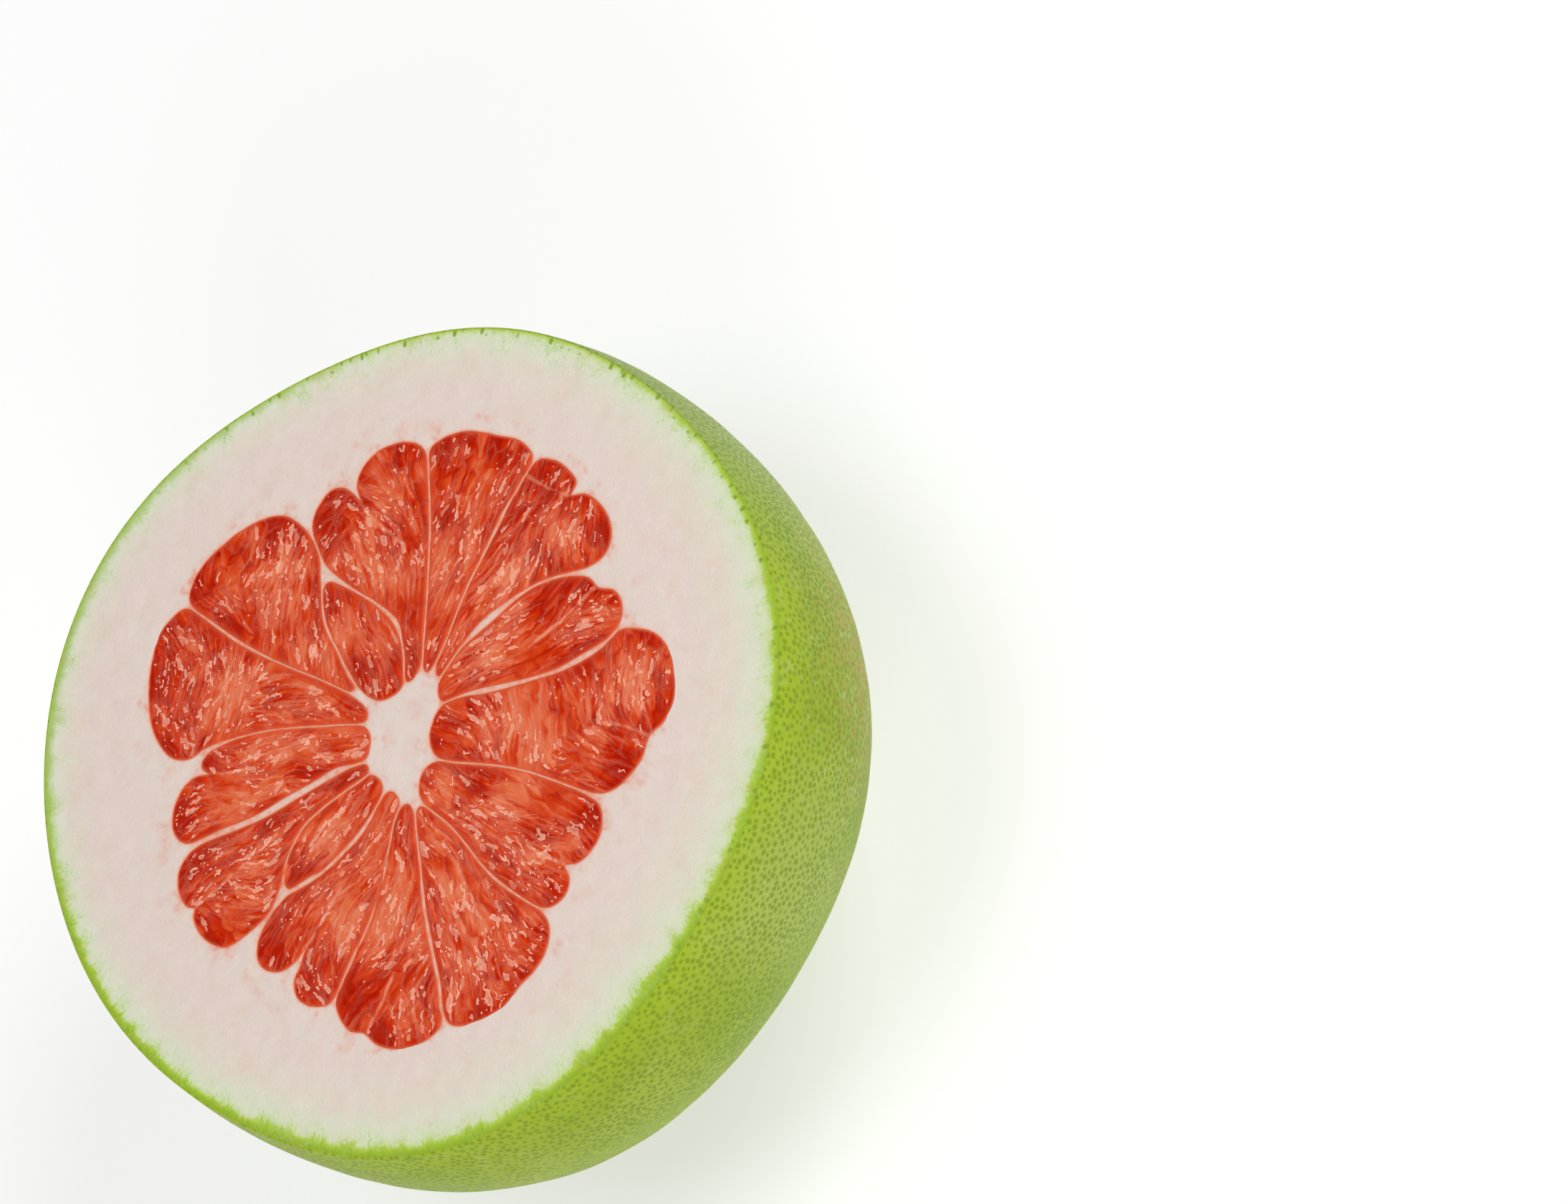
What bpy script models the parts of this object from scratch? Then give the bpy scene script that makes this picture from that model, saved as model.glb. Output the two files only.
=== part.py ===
"""Half a pomelo, cut across the middle and lying on its rounded end with the cut face up.

The green rind is a thin bowl. The white pith fills it, carries the core and the thin walls
between the segments, and has one pocket for each segment. The red flesh of every segment is
a body of its own in its pocket. Metres, +Z up, standing on z = 0.
"""
import bmesh
import bpy
import math
from mathutils import Vector

MM = 0.001

# Driving dimensions
HEIGHT = 86.0 * MM             # from the resting spot to the cut face
CUT_RADIUS = 81.6 * MM         # mean radius of the cut
RIND_THICKNESS = 1.5 * MM      # the green skin
FLAT_RADIUS = 12.0 * MM        # the spot on which it rests
SEGMENT_DEPTH = 52.0 * MM      # how far a segment reaches below the cut
GAP = 0.3 * MM                 # between pieces that touch on the real fruit

# The fruit is not round: (times round, height in mm, direction of a crest in degrees)
SWELLINGS = (
    (1, 2.6, -102.0),
    (2, 2.7, -73.0),
    (3, 1.4, -22.5),
    (4, 0.4, 27.0),
    (5, 0.7, 13.0),
)
LEAN = (-4.0 * MM, -1.5 * MM)  # how far the rounded end sits to one side of the cut
GIRTH_BULGE = 0.24             # the fruit is widest a little below the cut
END_ROUNDNESS = 2.1            # 2 is an ellipse, more is a blunter end

# Fineness
ROUND_STEPS = 64
RIND_ROWS = 12
OUTLINE_STEP = 5.2 * MM
SEGMENT_LEVELS = (0.0, 0.42, 0.76, 0.94)
DRAW_IN = 0.25                 # how much the flesh keeps away from the axis as it narrows
CUTTER_RISE = 0.3 * MM         # the cutter stands this far out of the cut

# Outlines of the segments on the cut face in mm from the middle of the cut, anticlockwise.
# A curve runs through the points of each one.
SEGMENTS = (
    ((12.4, -2.1), (14, -3), (20, -2.9), (29, -1.9), (38, -2), (46, -2), (51.9, -2.9), (55.5, -3.3),
     (57.7, -1.9), (58.6, 2), (57.6, 7), (56.6, 12), (55, 15.6), (52.5, 18.6), (49.8, 19.7),
     (46.5, 18), (42.6, 15.4), (36.8, 11.4), (29.6, 7.5), (22.4, 3.5), (15.5, 0)),
    ((9.1, 1), (10.5, -0.2), (13.4, 0), (17, 1.9), (25.3, 6), (33.2, 10.4), (39.7, 14.3),
     (44.7, 17.6), (48.5, 20.7), (49.6, 24), (48.3, 27.8), (45, 31.5), (41, 33), (37.6, 32.4),
     (35.4, 30.2), (35.9, 33.2), (35.9, 35.6), (34.6, 37.6), (31.8, 38.7), (28.6, 38.6), (26, 37),
     (23.6, 33.8), (21.6, 30.4), (20.8, 26.6), (20.2, 21.5), (19.9, 15.5), (18.7, 9.4), (15.9, 6),
     (12.4, 3.4)),
    ((8.05, 1.6), (10, 2.7), (12.4, 4.3), (15.2, 7.1), (17.3, 10.6), (18.4, 15), (18.9, 20),
     (18.9, 26), (18.6, 28.2), (17, 28.5), (14.8, 27), (12, 24.4), (10, 21.5), (8.5, 18.8),
     (6.8, 16), (5.4, 13.4), (4.1, 10.7), (3.3, 7.4), (3.6, 4.4), (5.6, 2.2)),
    ((2.9, 11.5), (4.2, 14.2), (5.7, 16.8), (7.5, 19.6), (9, 22.4), (11.1, 25.4), (14.3, 28.1),
     (18, 30.6), (21.8, 33.4), (24.3, 37), (26, 41.5), (26, 46), (23.7, 50), (20.4, 53.3),
     (16.1, 56.2), (11.8, 58.3), (7.5, 59.1), (4.2, 58.3), (2.8, 56), (2.3, 51), (1.5, 43),
     (1.3, 34), (1.6, 26), (2.2, 19), (2.4, 14)),
    ((-0.8, 5.8), (0.8, 7.6), (1.3, 12), (1.1, 20), (0.5, 28), (0, 35), (0, 42), (1, 51),
     (1.6, 56.6), (0.6, 58.9), (-2, 60.3), (-5.2, 61), (-9, 60.2), (-14.6, 57.9), (-20.3, 53.8),
     (-23.4, 49.5), (-24.8, 45), (-23.6, 41), (-20.3, 38.6), (-17.6, 35.8), (-15, 32),
     (-11.2, 25.7), (-8.4, 20.4), (-5.6, 14.4), (-2.7, 7.8)),
    ((-3.2, 3.6), (-2.8, 6.2), (-4.1, 10), (-6.2, 14.2), (-8.4, 19.2), (-11, 24.5), (-14, 29.4),
     (-17.4, 33.4), (-20.9, 36.6), (-23.6, 37), (-24.3, 34.8), (-26, 37.1), (-28.6, 38.6),
     (-32, 38.8), (-35.2, 37.8), (-37.6, 35.4), (-37.6, 32), (-34.6, 28.6), (-31.7, 25.7),
     (-28.9, 22.4), (-25.5, 19), (-20.8, 15.2), (-16, 11), (-11.4, 7.2), (-9.2, 3.9), (-7.4, 1.9),
     (-5, 2.2)),
    ((-8.8, 0.7), (-9.8, 2.5), (-12.2, 5.1), (-17.5, 9.6), (-21.6, 13), (-26.5, 17.1),
     (-30.5, 21.3), (-34, 25.3), (-37, 28.5), (-40.3, 30.5), (-43.4, 30.6), (-46.4, 28.8),
     (-48.2, 25.6), (-47.9, 23.4), (-49.6, 22.4), (-51.4, 19.6), (-52, 16), (-51, 12), (-46.6, 8.9),
     (-41.4, 6.9), (-36.4, 7.1), (-31.9, 8.5), (-27.5, 8.9), (-23.5, 8.3), (-19, 6.1), (-14, 2.7),
     (-10.2, 0)),
    ((-10.5, -0.7), (-12.4, 0.4), (-16.7, 3.3), (-21.2, 6), (-24.6, 7.4), (-28.6, 7.9),
     (-32.2, 7.5), (-34.8, 6.3), (-35.6, 4.7), (-33.6, 3), (-31.4, 1.3), (-29.8, -0.2),
     (-25.5, -2.2), (-22.5, -3.4), (-19.5, -4.3), (-16.5, -4.9), (-12.8, -5.2), (-10.8, -4.7),
     (-10, -3.3), (-10, -1.8)),
    ((-10.9, -8), (-11.8, -6.6), (-15.5, -6.3), (-20.2, -5.9), (-26.2, -3.6), (-31.3, -1),
     (-35.2, 2.1), (-38.2, 4.4), (-43.4, 5.7), (-47.6, 5.6), (-50.4, 3.9), (-51.2, 1), (-50, -2.2),
     (-47.4, -4.2), (-44.4, -5.1), (-47.4, -5.9), (-50.6, -6.2), (-52.8, -8.6), (-53, -12),
     (-51.4, -15.2), (-48.6, -16.1), (-42, -15.5), (-35, -15.7), (-28.9, -14.6), (-21.8, -12.5),
     (-15.1, -10.5), (-12, -9.9)),
    ((-11.6, -12.5), (-12.6, -11.5), (-16, -11.7), (-20.6, -13.3), (-24.3, -14.7), (-28.9, -15.7),
     (-34, -16.6), (-41.1, -16.9), (-48.6, -17.1), (-51.6, -19), (-53.3, -22.8), (-52.4, -26.4),
     (-53, -30), (-52.2, -34), (-49.8, -38), (-46.4, -40.8), (-43.6, -41), (-41.6, -39),
     (-38.6, -36.8), (-35, -33.2), (-30.3, -28.5), (-25.5, -24.2), (-20.8, -20.9), (-16, -17),
     (-13, -14.6)),
    ((-10.8, -15.5), (-12.3, -15.3), (-15.3, -17.5), (-20.8, -22.2), (-27.3, -27.7), (-32, -32.3),
     (-37, -37.3), (-41.8, -41.3), (-42.9, -44.2), (-41.2, -47.4), (-38.6, -50.2), (-35, -52.8),
     (-31, -53.7), (-26.5, -55.4), (-22.6, -55.6), (-19.2, -54.2), (-17.5, -51), (-17.2, -45),
     (-16.6, -38.5), (-15.2, -33.6), (-13.6, -29.4), (-11.8, -23.7), (-11, -19)),
    ((-4.5, -12.3), (-7.4, -12.9), (-9.2, -15), (-9.9, -18.5), (-10.6, -23), (-12, -27.8),
     (-13.9, -33), (-15.2, -38.5), (-16, -45), (-16.1, -50.2), (-14.6, -53.1), (-12, -54.1),
     (-9.4, -53.4), (-7.6, -51.2), (-6, -53.6), (-3.6, -54.9), (-0.6, -55.4), (2.4, -54.5),
     (4.7, -52.4), (5.2, -48.5), (4.9, -43.5), (4.4, -38.5), (3.6, -33.2), (2.1, -27), (0.7, -22.5),
     (-0.6, -18.6), (-2, -14.3)),
    ((9, -10.6), (6.8, -9.3), (3.6, -9.3), (0.8, -10.7), (-0.6, -13.4), (-0.3, -16.8), (1.1, -20.8),
     (2.6, -25), (4.1, -30), (5.1, -35), (5.9, -42), (6.8, -49.5), (8.4, -53.2), (11.4, -55.2),
     (16, -56.3), (20.4, -55.7), (24, -57.2), (28.6, -57.1), (33.2, -54.2), (36.4, -50.4),
     (37.4, -45.4), (35.4, -39.9), (31.3, -37.9), (27.6, -35.4), (23.3, -31.3), (20, -27),
     (16.8, -22.7), (13.3, -17.5), (11, -13.4)),
    ((8.9, -8.8), (10.2, -10.7), (12.2, -12.7), (14.7, -16.2), (18.3, -21.9), (21.2, -26.2),
     (24.2, -29.9), (27.4, -32.7), (31, -35.7), (33.8, -37.5), (37, -38.1), (39.8, -36.8),
     (41.2, -34), (40.4, -30.6), (41.1, -27.4), (39.7, -23.4), (37.6, -20.1), (34.9, -17.1),
     (31.2, -14.4), (26.6, -12), (21.8, -9.4), (17.6, -7.5), (13.4, -6.6), (10.4, -7)),
    ((12.6, -5.6), (15.4, -6.3), (20, -7), (25.5, -8.8), (30, -11.6), (34.8, -15.2), (38.6, -19.2),
     (41.6, -23.6), (43.4, -26.2), (46.2, -28.3), (49.6, -28.1), (52.6, -25.8), (54.5, -22),
     (54.9, -18.2), (53.6, -15.3), (56.2, -15), (57.6, -12.2), (58.1, -8.6), (57.2, -5.4),
     (54.6, -3.9), (50.4, -3.6), (46, -3.4), (41, -3.4), (35, -3.2), (30, -3.1), (25, -3.4),
     (18.8, -4), (14.2, -4.3)),
)


def clear_scene():
    for item in list(bpy.data.objects):
        bpy.data.objects.remove(item, do_unlink=True)


def material(name, colour, roughness):
    """A plain surface in one colour, given as linear red, green and blue."""
    made = bpy.data.materials.new(name)
    made.use_nodes = True
    shader = made.node_tree.nodes["Principled BSDF"]
    shader.inputs["Base Color"].default_value = (*colour, 1.0)
    shader.inputs["Roughness"].default_value = roughness
    shader.inputs["Metallic"].default_value = 0.0
    made.diffuse_color = (*colour, 1.0)
    return made


def put_object(name, mesh_edit, surface, sharp_degrees=35.0):
    """Turn a finished bmesh into a named object, smooth but for its sharp edges."""
    mesh = bpy.data.meshes.new(name)
    mesh_edit.to_mesh(mesh)
    mesh_edit.free()
    mesh.materials.append(surface)
    mesh.shade_smooth()
    mesh.set_sharp_from_angle(angle=math.radians(sharp_degrees))
    made = bpy.data.objects.new(name, mesh)
    bpy.context.scene.collection.objects.link(made)
    return made


def cut_radius(angle):
    """Radius of the cut's outline in one direction."""
    swelling = sum(
        size * math.cos(times * (angle - math.radians(crest)))
        for times, size, crest in SWELLINGS
    )
    return CUT_RADIUS + swelling * MM


def girth(depth):
    """Radius at a depth of 0 at the cut to 1 at the end, as a share of the cut's radius."""
    rounding = (1.0 - depth * depth) ** (1.0 / END_ROUNDNESS)
    return rounding * (1.0 + GIRTH_BULGE * depth * (1.0 - depth))


def resting_depth():
    """The depth at which the flat spot takes the rounded end off."""
    low, high = 0.5, 1.0
    for _ in range(40):
        depth = 0.5 * (low + high)
        if girth(depth) * CUT_RADIUS > FLAT_RADIUS:
            low = depth
        else:
            high = depth
    return low


def round_profile():
    """The skin's outline from the cut down to the flat spot, as (radius, height)."""
    last = math.asin(resting_depth())
    whole_depth = HEIGHT / math.sin(last)
    points = []
    for row in range(RIND_ROWS + 1):
        depth = math.sin(last * row / RIND_ROWS)
        points.append((girth(depth) * CUT_RADIUS, HEIGHT - depth * whole_depth))
    return points


def moved_in(profile, distance):
    """The same outline moved into the fruit, level at the cut and over the flat spot."""
    points = [(profile[0][0] - distance, profile[0][1])]
    for before, here, after in zip(profile, profile[1:], profile[2:]):
        along = Vector((after[0] - before[0], after[1] - before[1])).normalized()
        points.append((here[0] + along.y * distance, here[1] - along.x * distance))
    points.append((profile[-1][0] - 0.3 * distance, profile[-1][1] + distance))
    return points


def grow_to_shape(mesh_edit):
    """Give a round turned shape the fruit's swellings and lean."""
    for vert in mesh_edit.verts:
        angle = math.atan2(vert.co.y, vert.co.x)
        swell = cut_radius(angle) / CUT_RADIUS
        depth = 1.0 - vert.co.z / HEIGHT
        vert.co.x = vert.co.x * swell + LEAN[0] * depth
        vert.co.y = vert.co.y * swell + LEAN[1] * depth


def turned(profile):
    """Spin an outline of (radius, height) points a full turn about the upright axis."""
    made = bmesh.new()
    verts = [made.verts.new((radius, 0.0, height)) for radius, height in profile]
    edges = [made.edges.new(pair) for pair in zip(verts, verts[1:])]
    bmesh.ops.spin(
        made, geom=verts + edges, cent=(0.0, 0.0, 0.0), axis=(0.0, 0.0, 1.0),
        angle=math.tau, steps=ROUND_STEPS, use_merge=True, use_duplicate=False,
    )
    return made


def close_openings(mesh_edit):
    """Fill each open ring with one flat face."""
    rims = [edge for edge in mesh_edit.edges if edge.is_boundary]
    bmesh.ops.holes_fill(mesh_edit, edges=rims, sides=0)
    bmesh.ops.recalc_face_normals(mesh_edit, faces=mesh_edit.faces[:])


def rind_shape(skin):
    """A thin bowl: down the outside, over the cut edge and down the inside."""
    inside = moved_in(skin, RIND_THICKNESS)
    made = turned(list(reversed(skin)) + inside)
    close_openings(made)
    grow_to_shape(made)
    return made


def pith_shape(skin):
    """The white body inside the rind, before the pockets are cut."""
    made = turned(moved_in(skin, RIND_THICKNESS + GAP))
    close_openings(made)
    grow_to_shape(made)
    return made


def curve_through(points, step):
    """A closed Catmull-Rom curve through the points, one point about every step."""
    made = []
    count = len(points)
    for index in range(count):
        p0, p1, p2, p3 = (Vector(points[(index + k) % count]) * MM for k in (-1, 0, 1, 2))
        pieces = max(1, round((p2 - p1).length / step))
        for piece in range(pieces):
            t = piece / pieces
            made.append(0.5 * (
                2.0 * p1 + (p2 - p0) * t + (2.0 * p0 - 5.0 * p1 + 4.0 * p2 - p3) * t ** 2
                + (3.0 * p1 - p0 - 3.0 * p2 + p3) * t ** 3
            ))
    return made


def segment_shape(number):
    """A segment's space: its outline on the cut, drawn in and down in a few steps."""
    outline = curve_through(SEGMENTS[number - 1], OUTLINE_STEP)
    centre = sum(outline, Vector((0.0, 0.0))) / len(outline)
    made = bmesh.new()
    verts = [made.verts.new((point.x, point.y, HEIGHT)) for point in outline]
    ring = [made.edges.new(pair) for pair in zip(verts, verts[1:] + verts[:1])]
    size, place = 1.0, 1.0
    for above, level in zip(SEGMENT_LEVELS, SEGMENT_LEVELS[1:]):
        new_size = math.sqrt(1.0 - level * level)
        new_place = new_size + DRAW_IN * (1.0 - new_size)
        drawn = bmesh.ops.extrude_edge_only(made, edges=ring)["geom"]
        verts = [item for item in drawn if isinstance(item, bmesh.types.BMVert)]
        ring = [
            item for item in drawn
            if isinstance(item, bmesh.types.BMEdge) and set(item.verts) <= set(verts)
        ]
        shrink = new_size / size
        drop = Vector((0.0, 0.0, (above - level) * SEGMENT_DEPTH))
        bmesh.ops.translate(made, verts=verts, vec=-(centre * place).to_3d())
        bmesh.ops.scale(made, verts=verts, vec=(shrink, shrink, 1.0))
        bmesh.ops.translate(made, verts=verts, vec=(centre * new_place).to_3d() + drop)
        size, place = new_size, new_place
    close_openings(made)
    return made


def swell_body(mesh_edit, distance, top):
    """Move every wall out by the distance, or in if it is negative, and level the top."""
    mesh_edit.normal_update()
    moves = [
        (vert, vert.normal * vert.calc_shell_factor() * distance, vert.co.z > HEIGHT - 0.1 * MM)
        for vert in mesh_edit.verts
    ]
    for vert, move, is_top in moves:
        vert.co += move
        if is_top:
            vert.co.z = top


def pocket_cutter():
    """All the segments' spaces in one helper, a little larger than the flesh."""
    joined = bmesh.new()
    for number in range(1, len(SEGMENTS) + 1):
        pocket = segment_shape(number)
        swell_body(pocket, 0.5 * GAP, HEIGHT + CUTTER_RISE)
        piece = bpy.data.meshes.new("pocket")
        pocket.to_mesh(piece)
        pocket.free()
        joined.from_mesh(piece)
        bpy.data.meshes.remove(piece)
    return joined


def centre_of_box(item):
    """The middle of an object's footprint."""
    xs = [vert.co.x for vert in item.data.vertices]
    ys = [vert.co.y for vert in item.data.vertices]
    return Vector((0.5 * (min(xs) + max(xs)), 0.5 * (min(ys) + max(ys)), 0.0))


def build():
    clear_scene()
    green = material("rind_green", (0.38, 0.55, 0.045), 0.42)
    white = material("pith_white", (0.75, 0.66, 0.60), 0.75)
    red = material("flesh_red", (0.52, 0.045, 0.016), 0.22)
    skin = round_profile()

    rind = put_object("rind", rind_shape(skin), green)
    pith = put_object("pith", pith_shape(skin), white)
    pieces = [rind, pith]
    for number in range(1, len(SEGMENTS) + 1):
        body = segment_shape(number)
        swell_body(body, -0.5 * GAP, HEIGHT)
        pieces.append(put_object(f"segment_{number:02d}", body, red))

    cutter = put_object("pocket_cutter", pocket_cutter(), white)
    cutter.hide_render = True
    cutter.display_type = "WIRE"
    pieces.append(cutter)
    cut = pith.modifiers.new("pockets", "BOOLEAN")
    cut.operation = "DIFFERENCE"
    cut.solver = "EXACT"
    cut.object = cutter

    offset = centre_of_box(rind)
    for piece in pieces:
        for vert in piece.data.vertices:
            vert.co -= offset
    print("footprint centre moved by", [round(value / MM, 2) for value in offset])


build()
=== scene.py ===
# %% [markdown]
# # Half a pomelo, cut side up
# The CAD model says where everything is: a thin green rind, a white pith with fifteen pockets,
# and a red segment in each pocket. This lesson dresses those pieces. Each one is modelled again
# with the fine detail that the eye looks for, and takes the place of its plain CAD node.

# %% Load the frame
import bmesh
import bpy
import math
import numpy as np
from mathutils import Matrix, Vector, kdtree, noise
from mathutils.geometry import delaunay_2d_cdt


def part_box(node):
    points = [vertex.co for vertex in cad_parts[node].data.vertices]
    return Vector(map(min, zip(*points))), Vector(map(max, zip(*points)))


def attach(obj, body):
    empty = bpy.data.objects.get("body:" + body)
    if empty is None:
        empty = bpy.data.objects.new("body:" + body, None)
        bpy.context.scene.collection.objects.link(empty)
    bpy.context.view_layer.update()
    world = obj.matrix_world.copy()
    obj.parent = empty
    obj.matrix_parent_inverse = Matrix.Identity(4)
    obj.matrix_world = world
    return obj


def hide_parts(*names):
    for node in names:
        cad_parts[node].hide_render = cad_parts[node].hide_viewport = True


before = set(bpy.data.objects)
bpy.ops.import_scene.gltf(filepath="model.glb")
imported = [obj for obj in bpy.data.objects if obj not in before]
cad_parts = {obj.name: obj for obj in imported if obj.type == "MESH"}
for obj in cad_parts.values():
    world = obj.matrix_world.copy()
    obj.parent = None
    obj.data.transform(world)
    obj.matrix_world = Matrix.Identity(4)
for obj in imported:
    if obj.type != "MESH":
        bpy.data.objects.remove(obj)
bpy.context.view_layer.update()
MM = 0.001
HEIGHT = (Vector(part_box("rind")[1]) / MM).z
print("nodes", len(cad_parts), "height in mm", round(HEIGHT, 2))

# %% [markdown]
# ## The fruit's form
# A pomelo is not round. Its cut is a circle with a few slow swellings, and below the cut the fruit
# is first a little wider and then closes to the rounded end that it rests on. The same few
# numbers shaped the CAD rind, so they are repeated here, and every piece asks this form for its
# place. The form is worked out in millimetres, with arrays, because a skin has many points.

# %% The form as functions
CUT_RADIUS = 81.6
FLAT_RADIUS = 12.0
SWELLINGS = ((1, 2.6, -102.0), (2, 2.7, -73.0), (3, 1.4, -22.5), (4, 0.4, 27.0), (5, 0.7, 13.0))
LEAN = (-4.0, -1.5)
GIRTH_BULGE = 0.24
END_ROUNDNESS = 2.1
MIDDLE = (0.25, 0.83)          # the core's middle, measured from the middle of the footprint


def swelling(angle):
    """How much wider than a circle the fruit is in one direction, as a factor."""
    total = sum(size * np.cos(times * (angle - math.radians(crest))) for times, size, crest in SWELLINGS)
    return 1.0 + total / CUT_RADIUS


def profile(steps):
    """The skin from the cut down to the flat spot, as arrays of radius and height."""
    depth = np.linspace(0.0, 1.0, 20001)[:-1]
    girth = (1.0 - depth ** 2) ** (1.0 / END_ROUNDNESS) * (1.0 + GIRTH_BULGE * depth * (1.0 - depth))
    rest = np.argmax(girth * CUT_RADIUS < FLAT_RADIUS)
    turn = np.linspace(0.0, math.asin(depth[rest]), steps + 1)
    radius = np.interp(np.sin(turn), depth, girth) * CUT_RADIUS
    return radius, HEIGHT * (1.0 - np.sin(turn) / depth[rest])


def place(radius, angle, height):
    """The place on the real form of a point on the round one."""
    low = 1.0 - height / HEIGHT
    x = radius * np.cos(angle) * swelling(angle) + LEAN[0] * low + MIDDLE[0]
    y = radius * np.sin(angle) * swelling(angle) + LEAN[1] * low + MIDDLE[1]
    return np.stack([x, y, np.broadcast_to(height, np.shape(x))], axis=-1)


def skin_depth(x, y):
    """Distance in from the skin, for points on the cut."""
    angle = np.arctan2(y - MIDDLE[1], x - MIDDLE[0])
    return CUT_RADIUS * swelling(angle) - np.hypot(x - MIDDLE[0], y - MIDDLE[1])


rim = place(CUT_RADIUS, np.linspace(0.0, math.tau, 720), HEIGHT)
print("cut across in mm", np.round(rim.max(axis=0)[:2] - rim.min(axis=0)[:2], 1))

# %% [markdown]
# ## Helpers for meshes and materials
# Each piece is a bmesh in millimetres. It is turned into a mesh in metres whose object stays at the
# origin, as the CAD nodes are. Fine patterns that follow the fruit are stored on the mesh as
# attributes. One small function adds a shader node with its settings and links. Its inputs are
# given by name, or in the order of the node's sockets: a range has the value, where it starts
# and ends, and what it gives there.

# %% Helpers
def finish_piece(name, shape, surfaces):
    """A bmesh in millimetres becomes an object in metres, with smooth faces."""
    bmesh.ops.scale(shape, vec=(MM, MM, MM), verts=shape.verts)
    mesh = bpy.data.meshes.new(name)
    shape.to_mesh(mesh)
    shape.free()
    for surface in surfaces:
        mesh.materials.append(surface)
    mesh.shade_smooth()
    made = bpy.data.objects.new(name, mesh)
    bpy.context.scene.collection.objects.link(made)
    return made


def points_of(mesh):
    """A mesh's vertices as an array in millimetres."""
    flat = np.empty(len(mesh.vertices) * 3, dtype=np.float32)
    mesh.vertices.foreach_get("co", flat)
    return flat.reshape(-1, 3) / MM


def store(mesh, name, values, domain="POINT"):
    """Keep one number or one vector for each vertex or face."""
    vector = values.ndim == 2
    layer = mesh.attributes.new(name, "FLOAT_VECTOR" if vector else "FLOAT", domain)
    layer.data.foreach_set("vector" if vector else "value", values.astype(np.float32).ravel())


def colour(code):
    """An sRGB hex colour as linear red, green, blue and alpha."""
    parts = [int(code[i:i + 2], 16) / 255.0 for i in (1, 3, 5)]
    return (*[part / 12.92 if part <= 0.04045 else ((part + 0.055) / 1.055) ** 2.4 for part in parts], 1.0)


def new_material(name, values):
    """A node material with its shader's own values, and the object's coordinates in millimetres."""
    made = bpy.data.materials.new(name)
    made.use_nodes = True
    tree = made.node_tree
    shader = tree.nodes["Principled BSDF"]
    for socket, value in values.items():
        shader.inputs[socket].default_value = value
    spot = add(tree, "TexCoord").outputs["Object"]
    scaled = add(tree, "VectorMath", {"operation": "SCALE"}, {"Vector": spot, "Scale": 1.0 / MM})
    return made, tree, shader, scaled.outputs["Vector"]


def add(tree, kind, settings=None, inputs=None):
    """Add a node, set it up, and link or fill its inputs. A node as input means its first output."""
    made = tree.nodes.new("ShaderNode" + kind)
    for name, value in (settings or {}).items():
        setattr(made, name, value)
    for name, value in enumerate(inputs) if isinstance(inputs, tuple) else (inputs or {}).items():
        if isinstance(value, bpy.types.Node):
            value = value.outputs[0]
        if isinstance(value, bpy.types.NodeSocket):
            tree.links.new(value, made.inputs[name])
        else:
            made.inputs[name].default_value = value
    return made


SOFT = {"interpolation_type": "SMOOTHSTEP"}


def combined(tree, operation, *parts):
    """Several masks or values joined by one operation, such as their product or their sum."""
    made = parts[0]
    for part in parts[1:]:
        made = add(tree, "Math", {"operation": operation}, (made, part))
    return made


def gap_between(tree, one, other):
    """How far apart two values are."""
    return add(tree, "Math", {"operation": "ABSOLUTE"}, (combined(tree, "SUBTRACT", one, other),))


def layer_over(tree, below, cover, code):
    """Mix one more colour over the colour so far."""
    made = add(tree, "Mix", {"data_type": "RGBA"}, {"Factor": cover, 6: below, 7: colour(code)})
    return made.outputs[2]


def colour_ramp(tree, value, stops):
    """Colours along a value, from stops of position and colour."""
    ramp = add(tree, "ValToRGB", None, (value,))
    elements = ramp.color_ramp.elements
    for element, (at, code) in zip(list(elements), (stops[0], stops[-1])):
        element.position, element.color = at, colour(code)
    for at, code in stops[1:-1]:
        elements.new(at).color = colour(code)
    return ramp.outputs["Color"]


def bump(tree, shader, height, strength, distance):
    """Fine relief in the material, with its depth in millimetres."""
    made = add(tree, "Bump", None, {"Height": height, "Strength": strength, "Distance": distance * MM})
    tree.links.new(made.outputs["Normal"], shader.inputs["Normal"])


# %% [markdown]
# ## Camera
# The camera looks down on the cut at 54 degrees, from a little over a metre with a long lens, and
# it is rolled, so that the cut face stands up to the left in the picture.

# %% Camera
CAMERA_PLACE = Vector((53.174, -692.404, 943.705)) * MM
CAMERA_TILT = math.radians(36.0)
CAMERA_ROLL = math.radians(64.3)

lens = bpy.data.cameras.new("camera")
lens.sensor_fit = "HORIZONTAL"
lens.sensor_width = 36.0
lens.lens = 135.066
lens.clip_end = 20.0
camera = bpy.data.objects.new("camera", lens)
camera.location = CAMERA_PLACE
bpy.context.scene.collection.objects.link(camera)
forward = Vector((0.0, math.sin(CAMERA_TILT), -math.cos(CAMERA_TILT)))
level = Vector((1.0, 0.0, 0.0))
upward = level.cross(forward)
right = level * math.cos(CAMERA_ROLL) - upward * math.sin(CAMERA_ROLL)
upward = right.cross(forward)
camera.rotation_mode = "QUATERNION"
axes = [[right[i], upward[i], -forward[i]] for i in range(3)]
camera.rotation_quaternion = Matrix(axes).to_quaternion()
bpy.context.scene.camera = camera
print("right", [round(v, 3) for v in right], "up", [round(v, 3) for v in upward])

# %% [markdown]
# ## Light and floor
# A fruit photographed for a catalogue stands in soft light from all sides, on white. Four wide
# lamps do most of the work, and a pale sky softens their shadows. The paper glows a little, like
# a light table, so that it stays white beside the fruit.

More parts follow.
